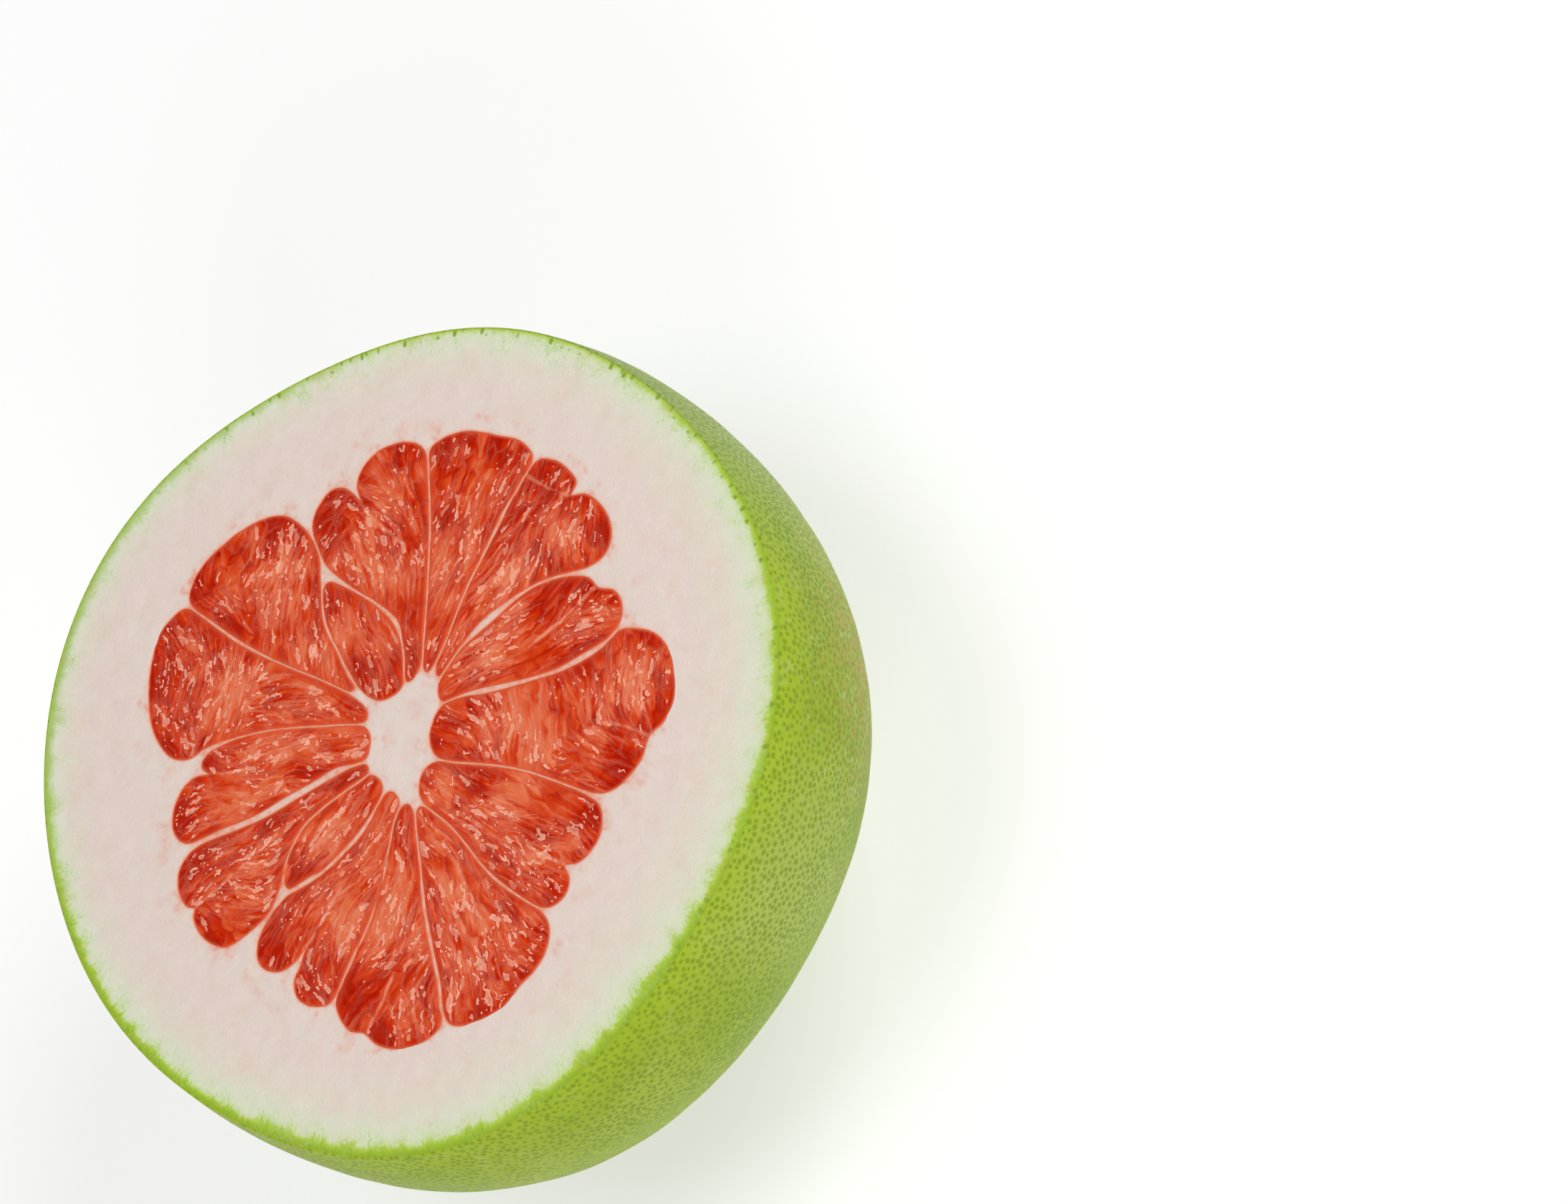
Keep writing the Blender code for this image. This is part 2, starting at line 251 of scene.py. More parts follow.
# %% Light and floor
scene = bpy.context.scene
scene.view_settings.view_transform = "Standard"
world = bpy.data.worlds.new("studio")
world.use_nodes = True
sky = world.node_tree.nodes["Background"]
sky.inputs["Color"].default_value = colour("#FFFFFF")
sky.inputs["Strength"].default_value = 0.18
scene.world = world

LAMPS = (
    # name, place in metres, size in metres, watts
    ("key_lamp", (1.2, -0.5, 1.1), 0.9, 14.0),
    ("fill_lamp", (-1.0, -1.2, 0.8), 1.0, 11.0),
    ("top_lamp", (-0.1, -0.1, 1.7), 0.8, 8.5),
    ("back_lamp", (-0.5, 1.3, 0.8), 0.5, 2.0),
)
for name, spot, size, power in LAMPS:
    lamp = bpy.data.lights.new(name, "AREA")
    lamp.shape = "DISK"
    lamp.size = size
    lamp.energy = power
    holder = bpy.data.objects.new(name, lamp)
    holder.location = spot
    holder.rotation_euler = (Vector((0.0, 0.0, 0.06)) - Vector(spot)).to_track_quat("-Z", "Y").to_euler()
    scene.collection.objects.link(holder)

paper = new_material("white_paper_sweep", {
    "Base Color": colour("#C4C4C4"), "Roughness": 0.9,
    "Emission Color": colour("#FFFFFF"), "Emission Strength": 0.50,
})[0]
shape = bmesh.new()
bmesh.ops.create_grid(shape, x_segments=1, y_segments=1, size=4000.0)
floor = finish_piece("floor", shape, [paper])
print("lamps", len(LAMPS))

# %% [markdown]
# ## The segments' outlines
# The flesh fills fifteen outlines on the cut. They are read from the CAD segments: the top of each
# one is a ring of points. A smooth curve through them, with a slight waver, is the
# living outline. CAD walls are thick enough to be solids. Here the flesh is let out by up to half a
# millimetre, which leaves the thin skins that part the segments of the real fruit.

# %% Read and smooth the outlines
END_LET_OUT = 0.25
WALL_LET_OUT = 0.50
THINNEST_WALL = 0.45
OUTLINE_STEP = 0.3
WAVER = 0.10


def top_ring(node):
    """The ring of points round the top of a CAD segment, in millimetres, anticlockwise."""
    copy = bmesh.new()
    copy.from_mesh(node.data)
    bmesh.ops.remove_doubles(copy, verts=copy.verts, dist=0.01 * MM)
    copy.normal_update()
    top = max(vert.co.z for vert in copy.verts)
    level = top - 0.01 * MM
    flat = [face for face in copy.faces if face.normal.z > 0.9 and face.calc_center_median().z > level]
    lids = set(flat)
    follow = {}
    for face in flat:
        for loop in face.loops:
            others = set(loop.edge.link_faces) - {face}
            if not others & lids:
                follow[loop.vert.index] = loop.link_loop_next.vert.index
    copy.verts.ensure_lookup_table()
    here = start = min(follow)
    ring = []
    while True:
        ring.append(copy.verts[here].co.xy / MM)
        here = follow[here]
        if here == start:
            break
    copy.free()
    return np.array([tuple(point) for point in ring])


def curve_through(ring, step):
    """A closed Catmull-Rom curve through a ring of points."""
    made = []
    for p0, p1, p2, p3 in zip(np.roll(ring, 1, 0), ring, np.roll(ring, -1, 0), np.roll(ring, -2, 0)):
        pieces = max(1, round(float(np.linalg.norm(p2 - p1)) / step))
        t = (np.arange(pieces) / pieces)[:, None]
        made.append(0.5 * (2 * p1 + (p2 - p0) * t + (2 * p0 - 5 * p1 + 4 * p2 - p3) * t ** 2
                           + (3 * p1 - p0 - 3 * p2 + p3) * t ** 3))
    return np.concatenate(made)


def let_out(ring, distance):
    """Move a ring of points outwards by a distance, which may differ from point to point."""
    along = np.roll(ring, -1, 0) - np.roll(ring, 1, 0)
    along /= np.linalg.norm(along, axis=1)[:, None]
    return ring + np.stack([along[:, 1], -along[:, 0]], axis=1) * np.reshape(distance, (-1, 1))


def grown_outlines(rings):
    """Let each ring out, less where a neighbour is near, with the small waver of a grown thing."""
    made = []
    for number, ring in enumerate(rings):
        others = np.concatenate([other for k, other in enumerate(rings) if k != number])
        gap = np.array([np.hypot(*(others - point).T).min() for point in ring])
        bumps = np.array([noise.noise((x / 2.2, y / 2.2, 7.0)) for x, y in ring])
        free = END_LET_OUT + WAVER * bumps
        walled = np.minimum(WALL_LET_OUT, 0.5 * (gap - THINNEST_WALL))
        share = np.clip((gap - 2.0) / 2.0, 0.0, 1.0)
        distance = walled * (1.0 - share) + free * share
        smooth = np.mean([np.roll(distance, k) for k in range(-3, 4)], axis=0)
        made.append(let_out(ring, smooth))
    return made


SEGMENT_NAMES = sorted(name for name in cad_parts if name.startswith("segment"))
smooth_rings = [curve_through(top_ring(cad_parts[name]), OUTLINE_STEP) for name in SEGMENT_NAMES]
outlines = grown_outlines(smooth_rings)
print("segments", len(outlines), "outline points", sum(len(ring) for ring in outlines))

# %% [markdown]
# ## Maps of the cut
# The look of the flesh is worked out on a fine grid over the cut, the way a painter builds up
# layers, and later read off at each vertex. A map is an array with one value for each grid
# point, 0.15 mm apart, which is finer than the smallest fleck.

# %% The grid and its basic maps
PITCH = 0.15
REACH = 64.0
ticks = np.arange(-REACH, REACH, PITCH)
GX, GY = np.meshgrid(ticks, ticks)


def between(grid, u, v, ease):
    """The value between the points of a grid, blended evenly or with an ease at each point."""
    i, j = u.astype(int), v.astype(int)
    fu, fv = u - i, v - j
    if ease:
        fu, fv = fu * fu * (3 - 2 * fu), fv * fv * (3 - 2 * fv)
    near = grid[j, i] * (1 - fu) + grid[j, i + 1] * fu
    far = grid[j + 1, i] * (1 - fu) + grid[j + 1, i + 1] * fu
    return near * (1 - fv) + far * fv


def read_map(grid, x, y):
    """The value of a map at places on the cut."""
    u, v = (np.clip((value + REACH) / PITCH, 0, len(ticks) - 1.001) for value in (x, y))
    return between(grid, u, v, False)


def window(x, y, reach):
    """The part of the grid round a point."""
    i, j = int((x + REACH) / PITCH), int((y + REACH) / PITCH)
    n = int(reach / PITCH) + 1
    return slice(max(0, j - n), j + n + 1), slice(max(0, i - n), i + n + 1)


def clouds(size, seed):
    """Soft random blotches about one size across, from 0 to 1."""
    count = int(2 * REACH / size) + 3
    knots = np.random.default_rng(seed).random((count, count))
    return between(knots, (GX + REACH) / size, (GY + REACH) / size, True)


def inside_ring(ring, x, y):
    """True where a point lies inside a ring."""
    inside = np.zeros(np.shape(x), dtype=bool)
    for (x1, y1), (x2, y2) in zip(ring, np.roll(ring, -1, 0)):
        if y1 != y2:
            crosses = (y1 > y) != (y2 > y)
            inside ^= crosses & (x < (x2 - x1) * (y - y1) / (y2 - y1) + x1)
    return inside


owner = np.zeros(GX.shape, dtype=np.int8)
border = np.full(GX.shape, 9.0)
next_border = np.full(GX.shape, 9.0)
for number, ring in enumerate(outlines, start=1):
    middle = 0.5 * (ring.max(axis=0) + ring.min(axis=0))
    box = window(*middle, 0.5 * np.ptp(ring, axis=0).max() + 1.0)
    owner[box][inside_ring(ring, GX[box], GY[box])] = number
    mine = np.full(GX.shape, 9.0)
    for x, y in curve_through(ring, 0.1):
        near = window(x, y, 5.0)
        mine[near] = np.minimum(mine[near], np.hypot(GX[near] - x, GY[near] - y))
    next_border = np.minimum(next_border, np.maximum(border, mine))
    border = np.minimum(border, mine)
print("flesh on the cut in square cm", round(float((owner > 0).sum()) * PITCH ** 2 / 100, 1))

# %% [markdown]
# ## The grain of the flesh
# A segment is packed with juice sacs, long drops that hang from the outer wall and point inwards,
# and each segment packs them its own way. A few guides, each a place and a direction, say which
# way they run. Between the guides the direction is blended, with doubled angles, because a
# sac that points north also points south.

# %% Direction of the grain
# x, y in mm from the core's middle, and direction in degrees
GUIDES = (
    (20, 0, 5), (35, 4, 8), (50, 5, 3), (50, 14, 20),
    (18, 7, 38), (25, 15, 45), (27, 24, 60), (27, 34, -20), (38, 27, 100), (43, 27, 70), (46, 22, 35),
    (8, 8, 60), (14, 20, 50), (12, 14, 55),
    (4, 17, 60), (6, 24, 45), (12, 32, 25), (15, 42, 7), (14, 53, 0), (5, 50, 80),
    (0, 12, 92), (-3, 22, 100), (-8, 28, 110), (-8, 38, 5), (-15, 38, 0), (-12, 47, 20), (-20, 47, 80),
    (-4, 52, 60),
    (-10, 14, 118), (-18, 24, 125), (-28, 30, 130), (-32, 35, 150), (-22, 36, 90),
    (-15, 7, 145), (-25, 13, 150), (-40, 26, 155), (-48, 15, 75), (-42, 13, 115), (-35, 12, 145),
    (-15, 0, 165), (-28, 4, 165),
    (-15, -8, 175), (-28, -8, 170), (-42, 1, 165), (-42, -10, 5), (-50, -10, 60),
    (-16, -14, 30), (-30, -20, 10), (-40, -24, -20), (-50, -36, 45), (-48, -20, -10),
    (-13, -20, 65), (-20, -32, 60), (-28, -42, 50), (-22, -50, 80), (-36, -46, 45),
    (-7, -18, 80), (-9, -30, 85), (0, -35, 95), (-12, -46, 85), (0, -48, 90),
    (4, -14, 110), (5.5, -17.5, 85), (8, -21, 55), (10, -25, 27), (12, -34, 28),
    (24, -38, 35), (30, -46, 35), (33, -52, 20),
    (25, -50, 55), (12, -48, 95), (9, -42, 100),
    (12, -11, -50), (20, -17, -45), (30, -22, -35), (36, -26, -20), (33, -33, -60),
    (18, -5, -10), (30, -7, -15), (42, -8, -8), (50, -8, 0), (47, -20, 25), (50, -25, 20), (43, -24, 40),
)


def blended_direction():
    """The grain's direction at each grid point, in radians, from the guides of the same segment."""
    east = np.zeros(GX.shape)
    north = np.zeros(GX.shape)
    for x, y, degrees in GUIDES:
        x, y = x + MIDDLE[0], y + MIDDLE[1]
        number = owner[int((y + REACH) / PITCH), int((x + REACH) / PITCH)]
        if number == 0:
            print("guide outside the flesh", x, y)
            continue
        mine = owner == number
        weight = 1.0 / (1.0 + ((GX[mine] - x) ** 2 + (GY[mine] - y) ** 2) ** 1.5)
        east[mine] += weight * math.cos(2 * math.radians(degrees))
        north[mine] += weight * math.sin(2 * math.radians(degrees))
    return 0.5 * np.arctan2(north, east)


grain = blended_direction() + (clouds(6.0, 11) - 0.5) * 0.7
grain_x, grain_y = np.cos(grain), np.sin(grain)


def drawn_along(grid, reach):
    """Smear a map along the grain, as a brush would, to make fine fibres."""
    total = grid.copy()
    steps = int(reach / (PITCH * 1.5))
    for sign in (1.0, -1.0):
        x, y, dx, dy = GX.copy(), GY.copy(), sign * grain_x, sign * grain_y
        for _ in range(steps):
            x += dx * PITCH * 1.5
            y += dy * PITCH * 1.5
            i = np.clip(((x + REACH) / PITCH).astype(int), 0, len(ticks) - 1)
            j = np.clip(((y + REACH) / PITCH).astype(int), 0, len(ticks) - 1)
            total += grid[j, i]
            nx, ny = grain_x[j, i], grain_y[j, i]
            turn = np.where(nx * dx + ny * dy < 0.0, -1.0, 1.0)
            dx, dy = nx * turn, ny * turn
    total /= 2 * steps + 1
    spread = total[owner > 0].std()
    return np.clip(0.5 + (total - total[owner > 0].mean()) / (5.0 * spread), 0.0, 1.0)


def softened(grid):
    """Each point averaged with its neighbours."""
    rows = (np.roll(grid, 1, 0) + 2 * grid + np.roll(grid, -1, 0)) / 4
    return (np.roll(rows, 1, 1) + 2 * rows + np.roll(rows, -1, 1)) / 4


random_dots = softened(np.random.default_rng(3).random(GX.shape))
fibres = drawn_along(random_dots, 3.0)
bands = drawn_along(clouds(0.7, 5), 6.0)
print("fibres from", round(float(fibres.min()), 2), "to", round(float(fibres.max()), 2))

# %% [markdown]
# ## Juice sacs
# Each sac is a cell with its own middle, direction, length and width, and a little bend. A point
# belongs to the sac that it is nearest to, with distance measured in that sac's own lengths
# and widths. This stretched Voronoi pattern is what packed drops look like when cut.

# %% Lay out the sacs
SAC_LENGTH = (5.0, 11.0)
SAC_WIDTH = (1.7, 3.2)
chance = np.random.default_rng(21)


def lay_out_sacs(tries):
    """Throw sacs at the flesh, and keep each one that has enough room."""
    kept = []
    spots = np.argwhere((owner > 0) & (border > 0.3))
    for row, column in spots[chance.integers(0, len(spots), tries)]:
        x, y = GX[row, column], GY[row, column]
        outer = min(1.0, max(0.0, (np.hypot(x, y) - 38.0) / 16.0))
        length = chance.uniform(*SAC_LENGTH) * (1.0 - 0.5 * outer)
        width = chance.uniform(*SAC_WIDTH) * (1.0 + 0.15 * outer)
        angle = grain[row, column]
        c, s = math.cos(angle), math.sin(angle)
        if kept:
            others = np.array(kept)
            dx, dy = others[:, 0] - x, others[:, 1] - y
            gap = np.hypot((dx * c + dy * s) / length, (dy * c - dx * s) / width)
            gap[others[:, 6] != owner[row, column]] = 9.0
            if gap.min() < 0.78:
                continue
        kept.append((x, y, angle, length, width, chance.uniform(-0.03, 0.03), owner[row, column]))
    return kept


def turned(dx, dy, angle, bend):
    """Distances along and across a direction, with a little bend."""
    along = dx * math.cos(angle) + dy * math.sin(angle)
    return along, dy * math.cos(angle) - dx * math.sin(angle) + bend * along ** 2


sacs = lay_out_sacs(9000)
nearest = np.full(GX.shape, 9.0)
second = np.full(GX.shape, 9.0)
sac_tone = np.zeros(GX.shape)
sac_width = np.ones(GX.shape)
sac_side = np.zeros(GX.shape)
wobble_x = (clouds(1.6, 31) - 0.5) * 1.3
wobble_y = (clouds(1.6, 32) - 0.5) * 1.3
for x, y, angle, length, width, bend, number in sacs:
    near = window(x, y, 1.6 * length)
    dx, dy = GX[near] - x + wobble_x[near], GY[near] - y + wobble_y[near]
    along, across = turned(dx, dy, angle, bend)
    reach = np.hypot(along / length, across / width)
    reach[owner[near] != number] = 9.0
    closer = reach < nearest[near]
    second[near] = np.where(closer, nearest[near], np.minimum(second[near], reach))
    sac_tone[near] = np.where(closer, chance.random(), sac_tone[near])
    sac_width[near] = np.where(closer, width, sac_width[near])
    sac_side[near] = np.where(closer, across / width, sac_side[near])
    nearest[near] = np.where(closer, reach, nearest[near])
seam = np.clip((second - nearest) * sac_width, 0.0, 3.0)
print("juice sacs", len(sacs))

# %% [markdown]
# ## Flecks, which are painted highlights
# Light that comes back from the walls inside the sacs is painted in as pale flecks: painted
# highlights, long ones in the grain's direction, and dots between them. Each is a bent, ragged
# stroke. Two maps keep the strokes: how far inside one a point is, so that the shader can give it a
# crisp edge, and how strong it is. The finest pale hairlines are made the same way.

# %% Paint the flecks
# painted highlights: pale flecks in three sizes
GLINT_FLECKS = (
    # per square mm, length from and to, width from and to, strength from and to
    (0.034, 1.2, 3.6, 0.45, 1.00, 0.35, 0.80),
    (0.075, 0.9, 2.4, 0.30, 0.46, 0.45, 1.0),
    (0.14, 0.30, 0.6, 0.30, 0.44, 0.5, 1.0),
)
HAIRLINES = (
    # the same seven numbers
    (0.38, 2.5, 8.0, 0.24, 0.36, 0.30, 0.9),
    (0.007, 8.0, 14.0, 0.34, 0.56, 0.6, 1.1),
)


clusters = 0.65 * clouds(5.0, 33) + 0.35 * clouds(1.8, 34)
rag_x = (clouds(0.6, 35) - 0.5) * 0.5
rag_y = (clouds(0.6, 36) - 0.5) * 0.5


def paint_strokes(kinds, bending, raggedness, straying):
    """Two maps of strokes: how far inside one a point is, 0.5 at its edge, and its strength."""
    made = np.zeros(GX.shape)
    power = np.zeros(GX.shape)
    spots = np.argwhere((owner > 0) & (border > 0.8) & (clusters > 0.40))
    for share, short, long, thin, thick, faint, bright in kinds:
        count = int(share * (owner > 0).sum() * PITCH ** 2)
        for row, column in spots[chance.integers(0, len(spots), count)]:
            x, y = GX[row, column], GY[row, column]
            angle = grain[row, column] + chance.normal(0.0, straying)
            length = chance.uniform(short, long)
            width = chance.uniform(thin, thick)
            bend = chance.uniform(-bending, bending)
            near = window(x, y, length * 0.6 + width)
            dx = GX[near] - x + raggedness * rag_x[near]
            dy = GY[near] - y + raggedness * rag_y[near]
            along, across = turned(dx, dy, angle, bend)
            taper = 1.0 - 0.35 * np.clip(along / length, -1.0, 1.0)
            reach = np.hypot(along / (0.5 * length), across / (0.5 * width * taper))
            stroke = np.clip(1.5 - reach, 0.0, 1.0)
            strength = chance.uniform(faint, bright)
            power[near] = np.where(stroke > made[near], strength, power[near])
            made[near] = np.maximum(made[near], stroke)
    return made, power


glint_flecks, glint_power = paint_strokes(GLINT_FLECKS, 0.12, 1.2, 0.22)
hairlines, hair_power = paint_strokes(HAIRLINES, 0.04, 0.5, 0.10)
print("flecked share", round(float((glint_flecks[owner > 0] > 0.5).mean()), 3))

# %% [markdown]
# ## Depth of colour
# Where a sac is thick and clear it is deep red, mostly at the outer ends, by the walls and at the
# tips. Where its walls lie near the cut it is a hazy coral pink. Clefts are folds where two parts
# of a segment meet, and show as pale lines. Each sac also gets painted shading across it.

# %% Deep patches, hazy patches and clefts
# x, y and radius in mm from the core's middle
DEEP = (
    (53, 16, 5), (40, 10, 3), (48, 25, 4.5), (28, 36, 6), (16, 26, 4), (24, 45, 5), (3, 45, 3),
    (-12, 56, 6), (-22, 47, 5), (-22, 36, 3), (-27, 17, 4), (-49, 16, 4.5), (-33, 6, 3.5),
    (-50, -10, 4), (-47, -19, 5.5), (2, -12, 3.5), (27, -35, 4), (37, -45, 4), (38, -23, 4.5),
    (55, -9, 4), (50, -27, 3.5), (54, -18, 3), (-52, -30, 3), (-25, -54, 3), (-12, -52, 3),
    (3, -52, 3.5), (8, 57, 5), (-41, 28, 4), (55, 5, 3), (-34, 36, 3.5), (-38, -49, 4),
    (12, -54, 3.5), (29, -55, 3.5), (-48, 3, 3.5), (7, 12, 2.5), (13, 4, 2.5), (-12, 4, 2),
)
HAZY = (
    (27, 4, 6), (-27, 25, 6), (20, -15, 7), (15, 40, 8), (-9, 38, 7), (-5, -18, 3), (-32, -21, 6),
    (-22, -34, 7), (12, -30, 8), (24, 16, 6), (40, 26, 5), (-12, 22, 5), (-38, 13, 6), (-25, 2, 5),
    (-35, -8, 6), (-1, -34, 5), (30, -8, 7), (29, -46, 6), (46, -20, 4), (0, 24, 6), (10, 20, 5),
)
CLEFTS = (
    ((35.5, 31.5), (33.5, 26), (32.5, 21), (31.5, 16)),
    ((-47.9, 23.4), (-42, 20), (-35, 16.5), (-28, 13)),
    ((-7.6, -51.2), (-7.8, -46), (-7.6, -41)),
    ((20.4, -55.7), (20, -50), (18.5, -44)),
    ((41, -30), (33, -26.5), (25, -22)),
    ((53.4, -3.6), (53, -9), (53.3, -14.5)),
    ((-44.4, -5.1), (-38, -6), (-31, -6.5)),
    ((-24.3, 34.8), (-22, 30), (-19, 25)),
    ((-53, -26.5), (-46, -27), (-40, -26.5)),
)


def soft_spots(places, sharpness=2.0):
    """A map that is 1 in the middle of each place and fades out round it."""
    made = np.zeros(GX.shape)
    for x, y, radius in places:
        x, y = x + MIDDLE[0], y + MIDDLE[1]
        near = window(x, y, radius * 2.2)
        reach = np.hypot(GX[near] - x, GY[near] - y) / radius
        made[near] = np.maximum(made[near], np.exp(-reach ** sharpness))
    return made


def cleft_map():
    """Distance from the nearest cleft line, in mm."""
    made = np.full(GX.shape, 9.0)
    for line in CLEFTS:
        for (x1, y1), (x2, y2) in zip(line, line[1:]):
            steps = int(math.hypot(x2 - x1, y2 - y1) / 0.2)
            for t in np.linspace(0.0, 1.0, steps):
                x, y = x1 + (x2 - x1) * t + MIDDLE[0], y1 + (y2 - y1) * t + MIDDLE[1]
                near = window(x, y, 2.0)
                made[near] = np.minimum(made[near], np.hypot(GX[near] - x, GY[near] - y))
    return made


def smooth_step(low, high, value):
    """0 below low, 1 above high, and a soft rise between."""
    t = np.clip((value - low) / (high - low), 0.0, 1.0)
    return t * t * (3.0 - 2.0 * t)


cleft = cleft_map() + (clouds(1.2, 40) - 0.5) * 0.5
blotches = 0.6 * clouds(5.0, 41) + 0.4 * clouds(2.2, 42)
dark_zone = soft_spots(DEEP)
haze_zone = soft_spots(HAZY)
deep = 0.48 + 0.42 * dark_zone - 0.30 * haze_zone
deep += 0.8 * (blotches - 0.5) + 0.44 * (sac_tone - 0.5) + 0.28 * (bands - 0.5)
# painted shading: each sac is lighter on one side and darker on the other, like a lit cylinder
deep += 0.55 * sac_side * np.where(sac_tone > 0.5, 1.0, -1.0) * smooth_step(0.0, 0.5, seam)
deep += 0.28 * np.exp(-border / 1.6) + 0.22 * np.exp(-(seam / 0.35) ** 2)
deep = np.clip(deep, 0.0, 1.0)
seam_line = np.exp(-((seam - 0.22) / 0.14) ** 2) * smooth_step(0.35, 0.65, clouds(3.5, 43))
fold_line = np.exp(-(np.maximum(cleft, 0.0) / 0.30) ** 2)
near_wall = 1.0 - smooth_step(1.4, 3.2, next_border)
rim_line = np.maximum(np.exp(-(border / 0.28) ** 2), 0.6 * near_wall * np.exp(-border / 0.7))
hair_line = smooth_step(0.25, 0.75, hairlines) * hair_power * (1.0 - 0.8 * dark_zone)
silk = smooth_step(0.55, 0.85, fibres) * smooth_step(0.35, 0.75, clouds(3.4, 44)) * (1.0 - 0.8 * dark_zone)
pale_lines = np.max([0.36 * seam_line, 0.75 * fold_line, 0.52 * hair_line, 0.44 * silk], axis=0)
pale_lines *= 1.15 - 0.55 * deep
haze = np.clip(1.3 * (fibres - 0.45) + 1.2 * (bands - 0.45), 0.0, 1.0)
haze *= 0.10 + 0.65 * haze_zone * (1.0 - dark_zone)
print("deep share", round(float((deep[owner > 0] > 0.6).mean()), 3))

# %% [markdown]
# ## Flesh pieces
# Each segment is one closed body. Its top is a sheet of even triangles, a sixth of a millimetre
# across, that Blender's constrained Delaunay tool lays inside the outline. The rest is made by drawing the
# outline down in steps, as the CAD segment is, and closing it. The top is then pressed into
# low domes, one for each sac, so that the wet surface catches the light.

# %% Sheets and walls
SEGMENT_DEPTH = 52.0
SEGMENT_LEVELS = (0.012, 0.42, 0.76, 0.94)
DRAW_IN = 0.25


def spread_points(low, high, step):
    """Points in even triangles over a rectangle."""
    columns = np.arange(low[0], high[0], step)
    rows = np.arange(low[1], high[1], step * 0.866)
    x, y = np.meshgrid(columns, rows)
    x = x + 0.5 * step * (np.arange(len(rows))[:, None] % 2)
    return np.stack([x.ravel(), y.ravel()], axis=1)


def reached_faces(faces, fences, start):
    """The faces that can be reached from an edge without crossing a fence."""
    sides = {}
    for number, face in enumerate(faces):
        for pair in zip(face, face[1:] + face[:1]):
            sides.setdefault(frozenset(pair), []).append(number)
    waiting = list(sides[start])
    reached = set(waiting)
    while waiting:
        face = faces[waiting.pop()]
        for pair in zip(face, face[1:] + face[:1]):
            edge = frozenset(pair)
            if edge not in fences:
                fresh = [number for number in sides[edge] if number not in reached]
                reached.update(fresh)
                waiting.extend(fresh)
    return [faces[number] for number in sorted(reached)]


def sheet_between(rings, points, height):
    """A level sheet of triangles inside the first ring and outside the others."""
    corners = [Vector(point) for point in np.concatenate(rings)]
    edges = []
    start = 0
    for ring in rings:
        count = len(ring)
        edges += [(start + k, start + (k + 1) % count) for k in range(count)]
        start += count
    corners += [Vector(point) for point in points]
    spots, links, faces, _, sources, _ = delaunay_2d_cdt(corners, edges, [], 1, 1e-5, True)
    fences = {frozenset(link) for link, source in zip(links, sources) if source}
    first = next(frozenset(link) for link, source in zip(links, sources) if 0 in source)
    mesh = bpy.data.meshes.new("sheet")
    mesh.from_pydata([(x, y, height) for x, y in spots], [], reached_faces(faces, fences, first))
    made = bmesh.new()
    made.from_mesh(mesh)
    bpy.data.meshes.remove(mesh)
    loose = [vert for vert in made.verts if not vert.link_faces]
    bmesh.ops.delete(made, geom=loose, context="VERTS")
    bmesh.ops.recalc_face_normals(made, faces=made.faces)
    if sum(face.normal.z for face in made.faces) < 0.0:
        bmesh.ops.reverse_faces(made, faces=made.faces)
    return made


def draw_down(made, ring, move):
    """Extrude a ring of edges and move each new vertex. Returns the new ring."""
    drawn = bmesh.ops.extrude_edge_only(made, edges=ring)["geom"]
    verts = [item for item in drawn if isinstance(item, bmesh.types.BMVert)]
    fresh = set(verts)
    for vert in verts:
        vert.co = move(vert.co)
    return [item for item in drawn if isinstance(item, bmesh.types.BMEdge) and set(item.verts) <= fresh]


def level_move(centre, before, after):
    """The move from one level of a segment to the next, as on the CAD segment."""
    size0, size1 = (math.sqrt(1.0 - level ** 2) for level in (before, after))
    place0, place1 = (size + DRAW_IN * (1.0 - size) for size in (size0, size1))

    def move(co):
        flat = (co.xy - centre * place0) * (size1 / size0) + centre * place1
        return Vector((flat.x, flat.y, HEIGHT - after * SEGMENT_DEPTH))
    return move


def close_up(made):
    """Fill what is open and let all faces point outwards."""
    rims = [edge for edge in made.edges if edge.is_boundary]
    bmesh.ops.holes_fill(made, edges=rims, sides=0)
    bmesh.ops.recalc_face_normals(made, faces=made.faces)


def centre_of(ring):
    """The middle of a ring, measured from the core."""
    return Vector(ring.mean(axis=0))


FLESH_STEP = 0.17
dome = 0.15 * smooth_step(0.0, 1.8, seam) - 0.03 * np.exp(-(seam / 0.3) ** 2)
relief = dome - 0.07 * np.exp(-(border / 0.5) ** 2) - 0.12 * fold_line
relief += 0.04 * (bands - 0.5) + 0.02 * smooth_step(0.3, 0.7, glint_flecks) - 0.12


def rows_along(ring, distances):
    """Points in rows beside a ring, so that what follows the outline is drawn smoothly."""
    made = []
    for distance in distances:
        row = let_out(ring, distance)
        near = read_map(border, row[:, 0], row[:, 1])
        made.append(row[near > 0.85 * abs(distance)])
    return np.concatenate(made)


def flesh_body(ring):
    """One segment, with an even top sheet."""
    points = spread_points(ring.min(axis=0), ring.max(axis=0), FLESH_STEP)
    keep = inside_ring(ring, points[:, 0], points[:, 1])
    keep &= read_map(border, points[:, 0], points[:, 1]) > 0.62
    rows = rows_along(ring, (-0.15, -0.32, -0.50))
    made = sheet_between([ring], np.concatenate([rows, points[keep]]), HEIGHT)
    rims = [edge for edge in made.edges if edge.is_boundary]
    centre = centre_of(ring)
    levels = (0.0,) + SEGMENT_LEVELS
    for before, after in zip(levels, levels[1:]):
        rims = draw_down(made, rims, level_move(centre, before, after))
    close_up(made)
    return made
